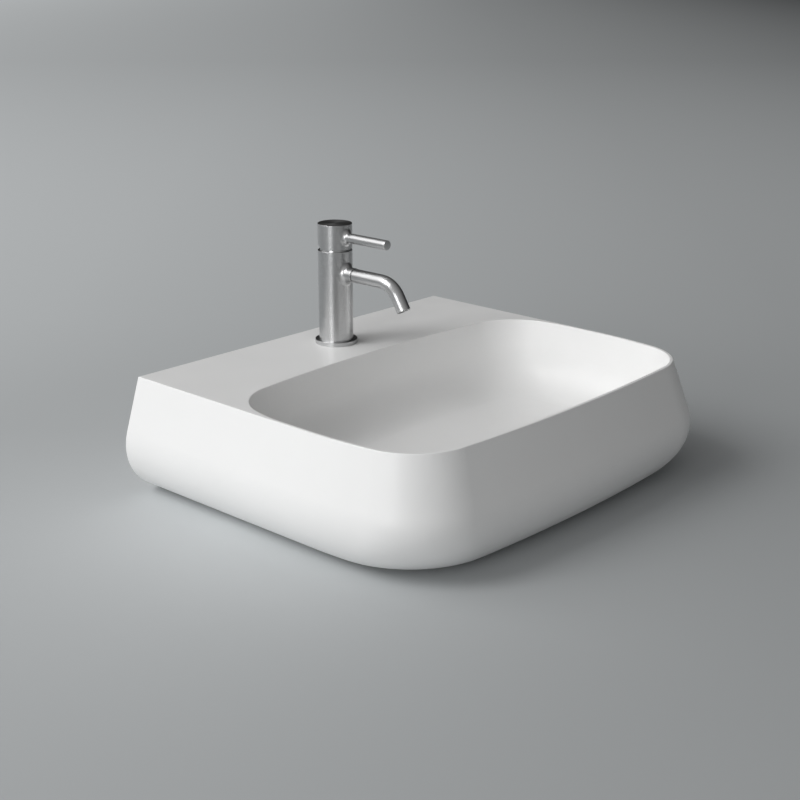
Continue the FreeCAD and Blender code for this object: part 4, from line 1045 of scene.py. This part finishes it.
@dataclass
class Waste(SubAssembly):
    """Flanged waste through the bowl's floor, with its rings and its backnut."""

    tail_radius: float = 0.02095
    tail_bore: float = 0.018
    tail_ease: float = 0.0007
    groove_depth: float = 0.0008
    groove_width: float = 0.0015
    shoulder_radius: float = 0.0226
    shoulder_drop: float = 0.009
    flange_thickness: float = 0.003
    flange_ease: float = 0.0009
    throat_radius: float = 0.0205
    throat_mouth: float = 0.024
    throat_depth: float = 0.006
    thread_pitch: float = 0.002309
    thread_depth: float = 0.0013
    bridge_height: float = 0.028
    bridge_thickness: float = 0.006
    bridge_arms: int = 3
    arm_width: float = 0.004
    arm_embed: float = 0.0005
    hub_radius: float = 0.008
    hub_bore: float = 0.005
    hub_steps: int = 8
    drain_radius: float = 0.023
    nut_sink: float = 0.0012
    rubber_ease: float = 0.0006
    washer_ease: float = 0.0004

    def build(self, shop: Workshop) -> None:
        """Build and dress the waste.

        Args:
            shop: workshop that dresses the pieces.
        """
        rack = shop.rack
        seat = SoftRing("flange_gasket", self.drain_radius, self.rubber_ease)
        tail = SoftRing("tail_gasket", self.tail_radius, self.rubber_ease)
        slip = SoftRing("slip_washer", self.tail_radius, self.washer_ease)
        nut = HexNut("backnut", self.tail_radius, self.nut_sink)
        shop.fit(self.threaded_body(), rack.polished, Body.BASIN, "waste_body")
        shop.fit(seat.piece("seat_ring"), rack.rubber, Body.BASIN, "flange_gasket")
        shop.fit(tail.piece("tail_ring"), rack.rubber, Body.BASIN, "tail_gasket")
        shop.fit(slip.piece("slip_ring"), rack.plastic, Body.BASIN, "slip_washer")
        shop.fit(nut.piece("chamfered_backnut"), rack.brass, Body.BASIN, "backnut")

    def threaded_body(self) -> bpy.types.Object:
        """Flange, throat and threaded tail, with the bridge across the bore.

        Returns:
            The waste's body.
        """
        spine = StraightSpine.under("waste_body")
        work = Workpiece().turn(self.outline(), spine)
        floor = self.bridge_height
        roof = floor + self.bridge_thickness
        rings = [Profile.ring(Vector((self.hub_bore, floor)), None), self.arm_ring(floor),
                 self.arm_ring(roof), Profile.ring(Vector((self.hub_bore, roof)), None)]
        return work.skin(rings, spine, self.arm_angles(), True).piece("threaded_waste")

    def outline(self) -> Profile:
        """Half of the waste's section, from its open end up the outside and down the bore.

        Returns:
            The outline with its thread.
        """
        box = NodeBox.of("waste_body")
        bottom, top = box.low.z, box.high.z
        under = top - self.flange_thickness
        step = under - self.shoulder_drop
        groove = NodeBox.of("backnut").low.z
        thread_end = groove - self.groove_width
        ledge = top - self.throat_depth
        thread = Thread(self.tail_radius, bottom, thread_end, self.thread_pitch, self.thread_depth)
        return Profile((
            Corner(self.tail_bore, bottom),
            Corner(self.tail_radius, bottom, self.tail_ease),
            Corner(self.tail_radius, thread_end),
            Corner(self.tail_radius - self.groove_depth, thread_end),
            Corner(self.tail_radius - self.groove_depth, groove),
            Corner(self.tail_radius, groove),
            Corner(self.tail_radius, step),
            Corner(self.shoulder_radius, step),
            Corner(self.shoulder_radius, under),
            Corner(box.radius(), under),
            Corner(box.radius(), top, self.flange_ease),
            Corner(self.throat_mouth, top, self.flange_ease),
            Corner(self.throat_radius, under, self.flange_ease),
            Corner(self.throat_radius, ledge),
            Corner(self.tail_bore, ledge),
        ), thread=thread)

    def arm_reach(self, angle: float) -> float:
        """How far the bridge reaches at an angle.

        Args:
            angle: angle round the bore, in radians.

        Returns:
            Distance to the hub's wall, or to the side or the end of an arm.
        """
        share = math.tau / self.bridge_arms
        off = abs((angle + share / 2) % share - share / 2)
        end_sine = self.arm_width / 2 / (self.tail_bore + self.arm_embed)
        side = self.arm_width / 2 / max(math.sin(off), end_sine)
        return max(side, self.hub_radius)

    def arm_ring(self, height: float) -> Ring:
        """Ring round the hub and its arms at one height."""
        return lambda angle: (self.arm_reach(angle), height)

    def arm_angles(self) -> list[float]:
        """Angles at the corners of the arms and at even steps round the hub.

        Returns:
            The angles in order, in radians.
        """
        root = math.asin(self.arm_width / 2 / self.hub_radius)
        tip = math.asin(self.arm_width / 2 / (self.tail_bore + self.arm_embed))
        share = math.tau / self.bridge_arms
        wall = [root + (share - 2 * root) * step / self.hub_steps for step in range(1, self.hub_steps)]
        one_arm = [-root, -tip, 0.0, tip, root, *wall]
        return [share * arm + angle for arm in range(self.bridge_arms) for angle in one_arm]


@dataclass
class Plug(SubAssembly):
    """Plug of the click waste, with its seal, push rod, sleeve and spring."""

    neck_radius: float = 0.014
    disc_height: float = 0.005
    edge_height: float = 0.0026
    edge_ease: float = 0.0006
    neck_ease: float = 0.0008
    socket_radius: float = 0.0024
    socket_depth: float = 0.006
    crown_steps: int = 10
    lip_radius: float = 0.0172
    lip_share: float = 0.45
    lip_ease: float = 0.0004

    def build(self, shop: Workshop) -> None:
        """Build and dress the plug.

        Args:
            shop: workshop that dresses the pieces.
        """
        rack = shop.rack
        shop.fit(self.crowned_cap(), rack.polished, Body.PLUG, "plug_cap")
        shop.fit(self.lipped_seal(), rack.rubber, Body.PLUG, "plug_seal")
        shop.keep(rack.zinc, "plug_stem", "click_spring")
        shop.keep(rack.brass, "click_sleeve")

    def crowned_cap(self) -> bpy.types.Object:
        """Cap with a crowned top and a drilled neck.

        Returns:
            The cap.
        """
        box = NodeBox.of("plug_cap")
        radius, top = box.radius(), box.high.z
        under = top - self.disc_height
        edge = under + self.edge_height
        rise = top - edge
        ball = (radius ** 2 + rise ** 2) / (2 * rise)
        crown = [radius * step / self.crown_steps for step in range(self.crown_steps)]
        corners = [Corner(reach, top - ball + math.sqrt(ball ** 2 - reach ** 2)) for reach in crown]
        corners += [
            Corner(radius, edge, self.edge_ease),
            Corner(radius, under, self.edge_ease),
            Corner(self.neck_radius, under),
            Corner(self.neck_radius, box.low.z, self.neck_ease),
            Corner(self.socket_radius, box.low.z),
            Corner(self.socket_radius, box.low.z + self.socket_depth),
            Corner(0.0, box.low.z + self.socket_depth),
        ]
        profile = Profile(tuple(corners), closed=False)
        return Workpiece().turn(profile, StraightSpine.under("plug_cap")).piece("crowned_plug")

    def lipped_seal(self) -> bpy.types.Object:
        """Seal with a thin lip at its outer edge.

        Returns:
            The seal.
        """
        box = NodeBox.of("plug_seal")
        bottom, top = box.low.z, box.high.z
        lip = bottom + (top - bottom) * self.lip_share
        profile = Profile((
            Corner(self.neck_radius, bottom),
            Corner(box.radius(), bottom, self.lip_ease),
            Corner(box.radius(), lip, self.lip_ease),
            Corner(self.lip_radius, (lip + top) / 2, self.lip_ease),
            Corner(self.lip_radius, top, self.lip_ease),
            Corner(self.neck_radius, top),
        ))
        return Workpiece().turn(profile, StraightSpine.under("plug_seal")).piece("lipped_seal")


@dataclass
class TapBody(SubAssembly):
    """Upright body of the tap on its rosette."""

    gasket_bore: float = 0.023
    gasket_ease: float = 0.0005

    def build(self, shop: Workshop) -> None:
        """Build and dress the body.

        Args:
            shop: workshop that dresses the pieces.
        """
        gasket = SoftRing("base_gasket", self.gasket_bore, self.gasket_ease)
        shop.fit(gasket.piece("rosette_seal"), shop.rack.rubber, Body.BASIN, "base_gasket")
        shop.keep(shop.rack.steel_round, "tap_body", "base_rosette")


@dataclass
class Spout(SubAssembly):
    """Bent spout on its collar, with the aerator in its open end."""

    collar_radius: float = 0.0096
    collar_start: float = 0.014
    collar_lead: float = 0.004
    root_sweep: float = 0.006
    spigot_radius: float = 0.007
    waterway: float = 0.004
    joint: float = 0.0366
    joint_ease: float = 0.0003
    joint_gap: float = 0.001
    joint_neck: float = 0.0082
    radius: float = 0.009
    wall: float = 0.0015
    run: float = 0.0541
    bend_radius: float = 0.0329
    bend_deg: float = 58.0
    end: float = 0.0199
    seat_radius: float = 0.008
    seat_depth: float = 0.009
    mouth_ease: float = 0.0003
    longest: float = 0.002
    shell_recess: float = 0.0008
    shell_depth: float = 0.0075
    shell_wall: float = 0.001
    lip_width: float = 0.001
    lip_height: float = 0.001
    key_teeth: int = 12
    tooth_depth: float = 0.0005
    tooth_slope: float = 2.0

    def build(self, shop: Workshop) -> None:
        """Build and dress the spout.

        Args:
            shop: workshop that dresses the pieces.
        """
        rack = shop.rack
        shop.fit(self.flared_collar(), rack.steel_lengthwise, Body.BASIN, "spout_collar")
        shop.fit(self.bent_tube(), rack.steel_lengthwise, Body.BASIN, "spout_tube")
        shop.fit(self.toothed_shell(), rack.polished, Body.BASIN, "aerator_shell")
        shop.keep(rack.plastic, "aerator_insert")
        shop.keep(rack.rubber, "aerator_washer")

    def spine(self) -> BentSpine:
        """Middle line of the spout, from the collar's face.

        Returns:
            The line.
        """
        box = NodeBox.of("spout_tube")
        start = Vector((box.middle().x, box.high.y, box.high.z - self.radius))
        return BentSpine(start, self.run, self.bend_radius, math.radians(self.bend_deg))

    def length(self) -> float:
        """Length of the middle line."""
        return self.run + self.bend_radius * math.radians(self.bend_deg) + self.end

    def flared_collar(self) -> bpy.types.Object:
        """Collar with a rounded root on the body and a fine joint to the tube.

        Returns:
            The collar.
        """
        barrel = NodeBox.of("tap_body")
        axis = barrel.middle()
        spine = StraightSpine(Vector((axis.x, axis.y, self.spine().start.z)), FORWARD)
        inside = Profile((Corner(self.waterway, self.collar_start),
                          Corner(self.spigot_radius, self.collar_start)), closed=False)
        shoulder = self.joint - self.joint_gap
        outside = Profile((Corner(self.collar_radius, self.joint - self.collar_lead),
                           Corner(self.collar_radius, shoulder, self.joint_ease),
                           Corner(self.joint_neck, shoulder),
                           Corner(self.joint_neck, self.joint),
                           Corner(self.waterway, self.joint)), closed=False)
        flare = Flare(barrel.radius(), self.collar_radius, self.root_sweep)
        work = Workpiece()
        work.skin(inside.rings() + flare.rings() + outside.rings(), spine, work.even_angles(), True)
        return work.piece("flared_collar")

    def bent_tube(self) -> bpy.types.Object:
        """Tube with an eased mouth and a counterbore for the aerator.

        Returns:
            The tube.
        """
        bore = self.radius - self.wall
        length = self.length()
        start = self.spine().start.y - NodeBox.of("tap_body").middle().y + self.joint
        profile = Profile((
            Corner(bore, start),
            Corner(self.radius, start, self.joint_ease),
            Corner(self.radius, length, self.mouth_ease),
            Corner(self.seat_radius, length, self.mouth_ease),
            Corner(self.seat_radius, length - self.seat_depth),
            Corner(bore, length - self.seat_depth),
        ), longest=self.longest)
        return Workpiece().turn(profile, self.spine()).piece("bent_spout")

    def tooth_ring(self, depth: float) -> Ring:
        """Ring on the inside of the lip, with notches for a key.

        Args:
            depth: distance of the ring from the spout's mouth.

        Returns:
            Function that gives the radius and the place along the spine for an angle.
        """
        lip = self.seat_radius - self.shell_wall - self.lip_width
        return lambda angle: (lip + self.tooth_depth * self.notch(angle), self.length() - depth)

    def notch(self, angle: float) -> float:
        """Share of the tooth's depth at an angle."""
        return min(1.0, max(0.0, 0.5 + self.tooth_slope * math.sin(angle * self.key_teeth)))

    def toothed_shell(self) -> bpy.types.Object:
        """Shell of the aerator with a notched lip.

        Returns:
            The shell.
        """
        mouth = self.length() - self.shell_recess
        back = self.length() - self.shell_depth
        room = self.seat_radius - self.shell_wall
        inside = Profile((Corner(room, mouth - self.lip_height), Corner(room, back),
                          Corner(self.seat_radius, back), Corner(self.seat_radius, mouth)), closed=False)
        rings = [self.tooth_ring(self.shell_recess), self.tooth_ring(self.shell_recess + self.lip_height)]
        work = Workpiece()
        work.skin(rings + inside.rings(), self.spine(), work.even_angles(), True)
        return work.piece("toothed_aerator")


@dataclass
class FixingSet(SubAssembly):
    """Stud, horseshoe and nut that hold the tap on the deck from below."""

    thread_pitch: float = 0.00125
    thread_depth: float = 0.00075
    stud_ease: float = 0.0008
    stud_sides: int = 32
    nut_sink: float = 0.0005

    def build(self, shop: Workshop) -> None:
        """Build and dress the fixing set.

        Args:
            shop: workshop that dresses the pieces.
        """
        rack = shop.rack
        nut = HexNut("stud_nut", NodeBox.of("fixing_stud").radius(), self.nut_sink)
        shop.fit(self.threaded_stud(), rack.zinc, Body.BASIN, "fixing_stud")
        shop.fit(nut.piece("chamfered_stud_nut"), rack.zinc, Body.BASIN, "stud_nut")
        shop.keep(rack.zinc, "horseshoe_plate")
        shop.keep(rack.rubber, "horseshoe_gasket")

    def threaded_stud(self) -> bpy.types.Object:
        """Stud with a thread all along it and eased ends.

        Returns:
            The stud.
        """
        box = NodeBox.of("fixing_stud")
        radius, bottom, top = box.radius(), box.low.z, box.high.z
        profile = Profile((
            Corner(0.0, bottom),
            Corner(radius, bottom, self.stud_ease),
            Corner(radius, top, self.stud_ease),
            Corner(0.0, top),
        ), closed=False, thread=Thread(radius, bottom, top, self.thread_pitch, self.thread_depth))
        work = Workpiece(sides=self.stud_sides)
        return work.turn(profile, StraightSpine.under("fixing_stud")).piece("threaded_stud")


@dataclass
class Cartridge(SubAssembly):
    """Ceramic cartridge in the top of the body, under its dome."""

    inlet_side: float = 0.0075
    inlet_forward: float = 0.0045
    inlet_radius: float = 0.0026
    outlet_back: float = 0.0065
    outlet_radius: float = 0.003
    seal_width: float = 0.0016
    seal_ease: float = 0.0004
    seal_sides: int = 48

    def build(self, shop: Workshop) -> None:
        """Build and dress the cartridge.

        Args:
            shop: workshop that dresses the pieces.
        """
        rack = shop.rack
        shop.fit(self.port_rings(), rack.rubber, Body.BASIN, "port_seals")
        shop.keep(rack.plastic, "cartridge_base", "cartridge_housing", "cartridge_rotor", "disc_carrier")
        shop.keep(rack.alumina, "fixed_disc", "moving_disc")
        shop.keep(rack.brass, "cartridge_nut")
        shop.keep(rack.zinc, "pivot_pin")
        shop.keep(rack.steel_round, "cover_dome")

    def port_rings(self) -> bpy.types.Object:
        """One rounded seal round each waterway.

        Returns:
            The seals as one piece.
        """
        axis = NodeBox.of("cartridge_base").middle()
        box = NodeBox.of("port_seals")
        front = axis.y - self.inlet_forward
        ports = ((axis.x - self.inlet_side, front, self.inlet_radius),
                 (axis.x + self.inlet_side, front, self.inlet_radius),
                 (axis.x, axis.y + self.outlet_back, self.outlet_radius))
        heights = (box.low.z, box.high.z)
        work = Workpiece(sides=self.seal_sides)
        for x, y, bore in ports:
            section = Profile.eased_ring(bore, bore + self.seal_width, heights, self.seal_ease)
            work.turn(section, StraightSpine.upright(x, y))
        return work.piece("port_rings")


@dataclass
class Handle(SubAssembly):
    """Cap and lever on the cartridge's stem."""

    root: float = 0.0205
    root_sweep: float = 0.0055
    straight: float = 0.03
    tail_radius: float = 0.004
    tail_start: float = 0.0041
    tip_ease: float = 0.0005
    longest: float = 0.006

    def build(self, shop: Workshop) -> None:
        """Build and dress the handle.

        Args:
            shop: workshop that dresses the pieces.
        """
        rack = shop.rack
        shop.keep(rack.steel_round, "handle_cap")
        shop.fit(self.turned_lever(), rack.steel_lengthwise, Body.HANDLE, "handle_lever")
        shop.keep(rack.zinc, "lever_stem", "grub_screw")

    def turned_lever(self) -> bpy.types.Object:
        """Round lever with a rounded root on the cap, an eased flat end and a thinner tail in the cap.

        Returns:
            The lever.
        """
        box = NodeBox.of("handle_lever")
        cap = NodeBox.of("handle_cap")
        axis = cap.middle()
        radius = (box.high.x - box.low.x) / 2
        reach = axis.y - box.low.y
        tail = Profile((Corner(0.0, self.tail_start), Corner(self.tail_radius, self.tail_start),
                        Corner(self.tail_radius, self.root)), closed=False, longest=self.longest)
        rod = Profile((Corner(radius, self.straight), Corner(radius, reach, self.tip_ease),
                       Corner(0.0, reach)), closed=False, longest=self.longest)
        flare = Flare(cap.radius(), radius, self.root_sweep)
        spine = StraightSpine(Vector((axis.x, axis.y, box.low.z + radius)), FORWARD)
        work = Workpiece()
        work.skin(tail.rings() + flare.rings() + rod.rings(), spine, work.even_angles(), False)
        return work.piece("turned_lever")


# Studio

@dataclass(frozen=True)
class Lamp:
    """Soft rectangular light, aimed at the basin."""

    name: str
    bearing_deg: float
    rise_deg: float
    distance: float
    width: float
    height: float
    power: float
    aim: Place = (0.0, 0.0, 0.1)

    def hang(self) -> None:
        """Put the light up at its bearing, counted from +X towards +Y."""
        light = bpy.data.lights.new(self.name, "AREA")
        light.shape = "RECTANGLE"
        light.size = self.width
        light.size_y = self.height
        light.energy = self.power
        bearing = math.radians(self.bearing_deg)
        rise = math.radians(self.rise_deg)
        level = math.cos(rise)
        way = Vector((level * math.cos(bearing), level * math.sin(bearing), math.sin(rise)))
        lamp = bpy.data.objects.new(self.name, light)
        lamp.location = Vector(self.aim) + way * self.distance
        lamp.rotation_euler = (-way).to_track_quat("-Z", "Y").to_euler()
        bpy.context.scene.collection.objects.link(lamp)


@dataclass
class Floor:
    """Wide pale floor with painted light: lighter to the left, a painted pool of light by the basin,
    painted shade far off and towards the lamps.
    """

    half: float = 40.0
    colour: Colour = (0.96, 0.995, 1.01)
    shade: float = 0.46
    # Painted light: the paint is lighter to the left and darker to the right, as the lamps' light falls
    # off.
    painted_side_light_span: float = 0.7
    painted_side_light: float = 0.05
    # Painted pool of light on the floor beside the basin's left wall, where the wall throws light.
    painted_light_pool: float = 0.38
    painted_light_pool_place: Place = (-0.27, 0.08, 0.0)
    painted_light_pool_span: float = 0.7
    # Painted shade: the paint grows darker far off, as the lamps' light falls off.
    far_start: float = 0.8
    far_end: float = 6.0
    far_painted_shade: float = 0.64
    # Painted shade: the paint grows darker towards the lamps, against their light on the far floor.
    lamp_bearing_deg: float = 150.0
    lamp_start: float = 0.9
    lamp_end: float = 3.6
    lampward_painted_shade: float = 0.25
    glow_left: float = 0.35
    glow_right: float = -0.01
    glow_reach: float = 4.0
    glow_start: float = 0.2
    glow_half: float = 1.1
    grain_scale: float = 6.0
    grain_detail: float = 3.0
    grain_span: Spot = (0.3, 0.7)
    rough: Spot = (0.75, 0.9)
    view_bearing_deg: float = 42.5
    left_turn_deg: float = 90.0

    def lay(self) -> None:
        """Lay the floor as part of the stage."""
        half = self.half
        mesh = bpy.data.meshes.new("studio_floor")
        mesh.from_pydata([(-half, -half, 0), (half, -half, 0), (half, half, 0), (-half, half, 0)], [],
                         [(0, 1, 2, 3)])
        mesh.materials.append(self.paint())
        floor = bpy.data.objects.new("studio_floor", mesh)
        bpy.context.scene.collection.objects.link(floor)

    def paint(self) -> bpy.types.Material:
        """Matt paint that takes shadows, with a glow that lights nothing.

        Returns:
            The material.
        """
        paint = bpy.data.materials.new("studio_floor_paint")
        paint.use_nodes = True
        bench = NodeBench(paint.node_tree)
        shader = paint.node_tree.nodes["Principled BSDF"]
        spot = bench.object_place()
        away = self.reach(bench, spot, self.view_bearing_deg)
        aside = self.reach(bench, spot, self.view_bearing_deg + self.left_turn_deg)
        grain = bench.noise(spot, self.grain_scale, self.grain_detail)
        coats = {
            "Base Color": bench.tinted(self.colour, self.tone(bench, spot, away, aside)),
            "Roughness": bench.ranged(grain, self.grain_span, *self.rough),
            "Emission Color": bench.tinted(self.colour, self.glow(bench, away, aside)),
        }
        for name, socket in coats.items():
            bench.tree.links.new(socket, shader.inputs[name])
        shader.inputs["Specular IOR Level"].default_value = 0.0
        shader.inputs["Emission Strength"].default_value = 1.0
        return paint

    def glow(self, bench: NodeBench, away: Socket, aside: Socket) -> Socket:
        """Glow of the floor far off, which only shows to the eye.

        Args:
            bench: bench of the paint's tree.
            away: distance away from the eye.
            aside: distance to the left.

        Returns:
            The socket with the glow's strength.
        """
        past = bench.maths("MAXIMUM", bench.maths("SUBTRACT", away, self.glow_start), 0.0)
        nearness = bench.maths("POWER", 0.5, bench.maths("DIVIDE", past, self.glow_half))
        far = bench.maths("SUBTRACT", 1.0, nearness)
        level = bench.ranged(aside, (-self.glow_reach, self.glow_reach), self.glow_right, self.glow_left)
        light = bench.maths("MAXIMUM", bench.maths("MULTIPLY", far, level), 0.0)
        return bench.maths("MULTIPLY", light, self.seen(bench))

    def tone(self, bench: NodeBench, spot: Socket, away: Socket, aside: Socket) -> Socket:
        """Shade of the paint over the floor, with painted light and painted shade in it.

        Args:
            bench: bench of the paint's tree.
            spot: place on the floor.
            away: distance away from the eye.
            aside: distance to the left.

        Returns:
            The socket with the shade.
        """
        # Painted light, lighter to the left and darker to the right.
        dark, light = self.shade - self.painted_side_light, self.shade + self.painted_side_light
        across = bench.ranged(aside, (-self.painted_side_light_span, self.painted_side_light_span), dark, light)
        # Painted pool of light beside the basin.
        near = bench.ranged(bench.apart(spot, self.painted_light_pool_place), (self.painted_light_pool_span, 0.0), 0.0, 1.0)
        painted_light_pool = bench.ranged(bench.maths("MULTIPLY", near, near), (0.0, 1.0), 1.0, 1.0 + self.painted_light_pool)
        # Painted shade far off.
        far = bench.ranged(away, (self.far_start, self.far_end), 1.0, self.far_painted_shade)
        # Painted shade towards the lamps.
        lampward = self.reach(bench, spot, self.lamp_bearing_deg)
        under = bench.ranged(lampward, (self.lamp_start, self.lamp_end), 1.0, self.lampward_painted_shade)
        close_by = bench.maths("MULTIPLY", across, painted_light_pool)
        return bench.maths("MULTIPLY", close_by, bench.maths("MULTIPLY", far, under))

    @staticmethod
    def reach(bench: NodeBench, spot: Socket, bearing_deg: float) -> Socket:
        """Distance of a place from the middle of the floor along a bearing.

        Args:
            bench: bench of the paint's tree.
            spot: place on the floor.
            bearing_deg: bearing, counted from +X towards +Y.

        Returns:
            The socket with the distance.
        """
        bearing = math.radians(bearing_deg)
        return bench.dot(spot, (math.cos(bearing), math.sin(bearing), 0.0))

    @staticmethod
    def seen(bench: NodeBench) -> Socket:
        """Mask of what is seen directly, in a mirror or through glass, and not of light on the part.

        Args:
            bench: bench of the paint's tree.

        Returns:
            The socket with the mask.
        """
        path = bench.place("ShaderNodeLightPath").outputs
        mirrored = bench.maths("MAXIMUM", path["Is Glossy Ray"], path["Is Transmission Ray"])
        return bench.maths("MAXIMUM", path["Is Camera Ray"], mirrored)


@dataclass
class Surround:
    """Faint light all round, stronger on the side of the lamps."""

    tint: Colour = (1.0, 1.0, 1.0)
    dark: float = 0.02
    light: float = 0.46
    start: float = -0.6
    bearing_deg: float = 190.0
    rise_deg: float = 25.0

    def fill(self) -> None:
        """Fill the world with the light."""
        world = bpy.data.worlds.new("studio_world")
        world.use_nodes = True
        bench = NodeBench(world.node_tree)
        bearing = math.radians(self.bearing_deg)
        rise = math.radians(self.rise_deg)
        span = math.cos(rise)
        way = bench.place("ShaderNodeTexCoord").outputs["Generated"]
        side = bench.dot(way, (span * math.cos(bearing), span * math.sin(bearing), math.sin(rise)))
        level = bench.ranged(side, (self.start, 1.0), self.dark, self.light)
        shade = world.node_tree.nodes["Background"].inputs["Color"]
        world.node_tree.links.new(bench.tinted(self.tint, level), shade)
        bpy.context.scene.world = world


@dataclass
class Studio:
    """Floor, soft lights, faint light all round, and the camera."""

    floor: Floor = field(default_factory=Floor)
    key: Lamp = Lamp("key_light", bearing_deg=156.0, rise_deg=43.0, distance=5.5,
                     width=2.0, height=3.0, power=95.0)
    soft: Lamp = Lamp("soft_light", bearing_deg=128.0, rise_deg=38.0, distance=5.5,
                      width=4.5, height=4.2, power=80.0)
    side: Lamp = Lamp("side_light", bearing_deg=191.0, rise_deg=13.0, distance=4.5,
                      width=1.8, height=1.4, power=38.0)
    surround: Surround = field(default_factory=Surround)
    camera_place: Place = (-1.29304, -1.125, 0.67583)
    camera_tilt_deg: float = 71.646
    camera_turn_deg: float = -47.472
    camera_lens: float = 64.36

    def build(self) -> None:
        """Set the stage, the lights and the camera."""
        bpy.context.scene.view_settings.view_transform = "Standard"
        self.floor.lay()
        for lamp in (self.key, self.soft, self.side):
            lamp.hang()
        self.surround.fill()
        self.set_camera()

    def set_camera(self) -> None:
        """Camera where the photograph was taken from."""
        lens = bpy.data.cameras.new("camera")
        lens.lens = self.camera_lens
        camera = bpy.data.objects.new("camera", lens)
        camera.location = self.camera_place
        tilt = math.radians(self.camera_tilt_deg)
        camera.rotation_euler = Euler((tilt, 0.0, math.radians(self.camera_turn_deg)))
        bpy.context.scene.collection.objects.link(camera)
        bpy.context.scene.camera = camera


def main() -> None:
    """Build every class in order and report its pieces."""
    logging.basicConfig(level=logging.INFO, format="%(message)s")
    shop = Workshop()
    parts = (Basin(), Waste(), Plug(), TapBody(), Spout(), FixingSet(), Cartridge(), Handle())
    for part in parts:
        part.build(shop)
    Studio().build()


if __name__ == "__main__":
    main()
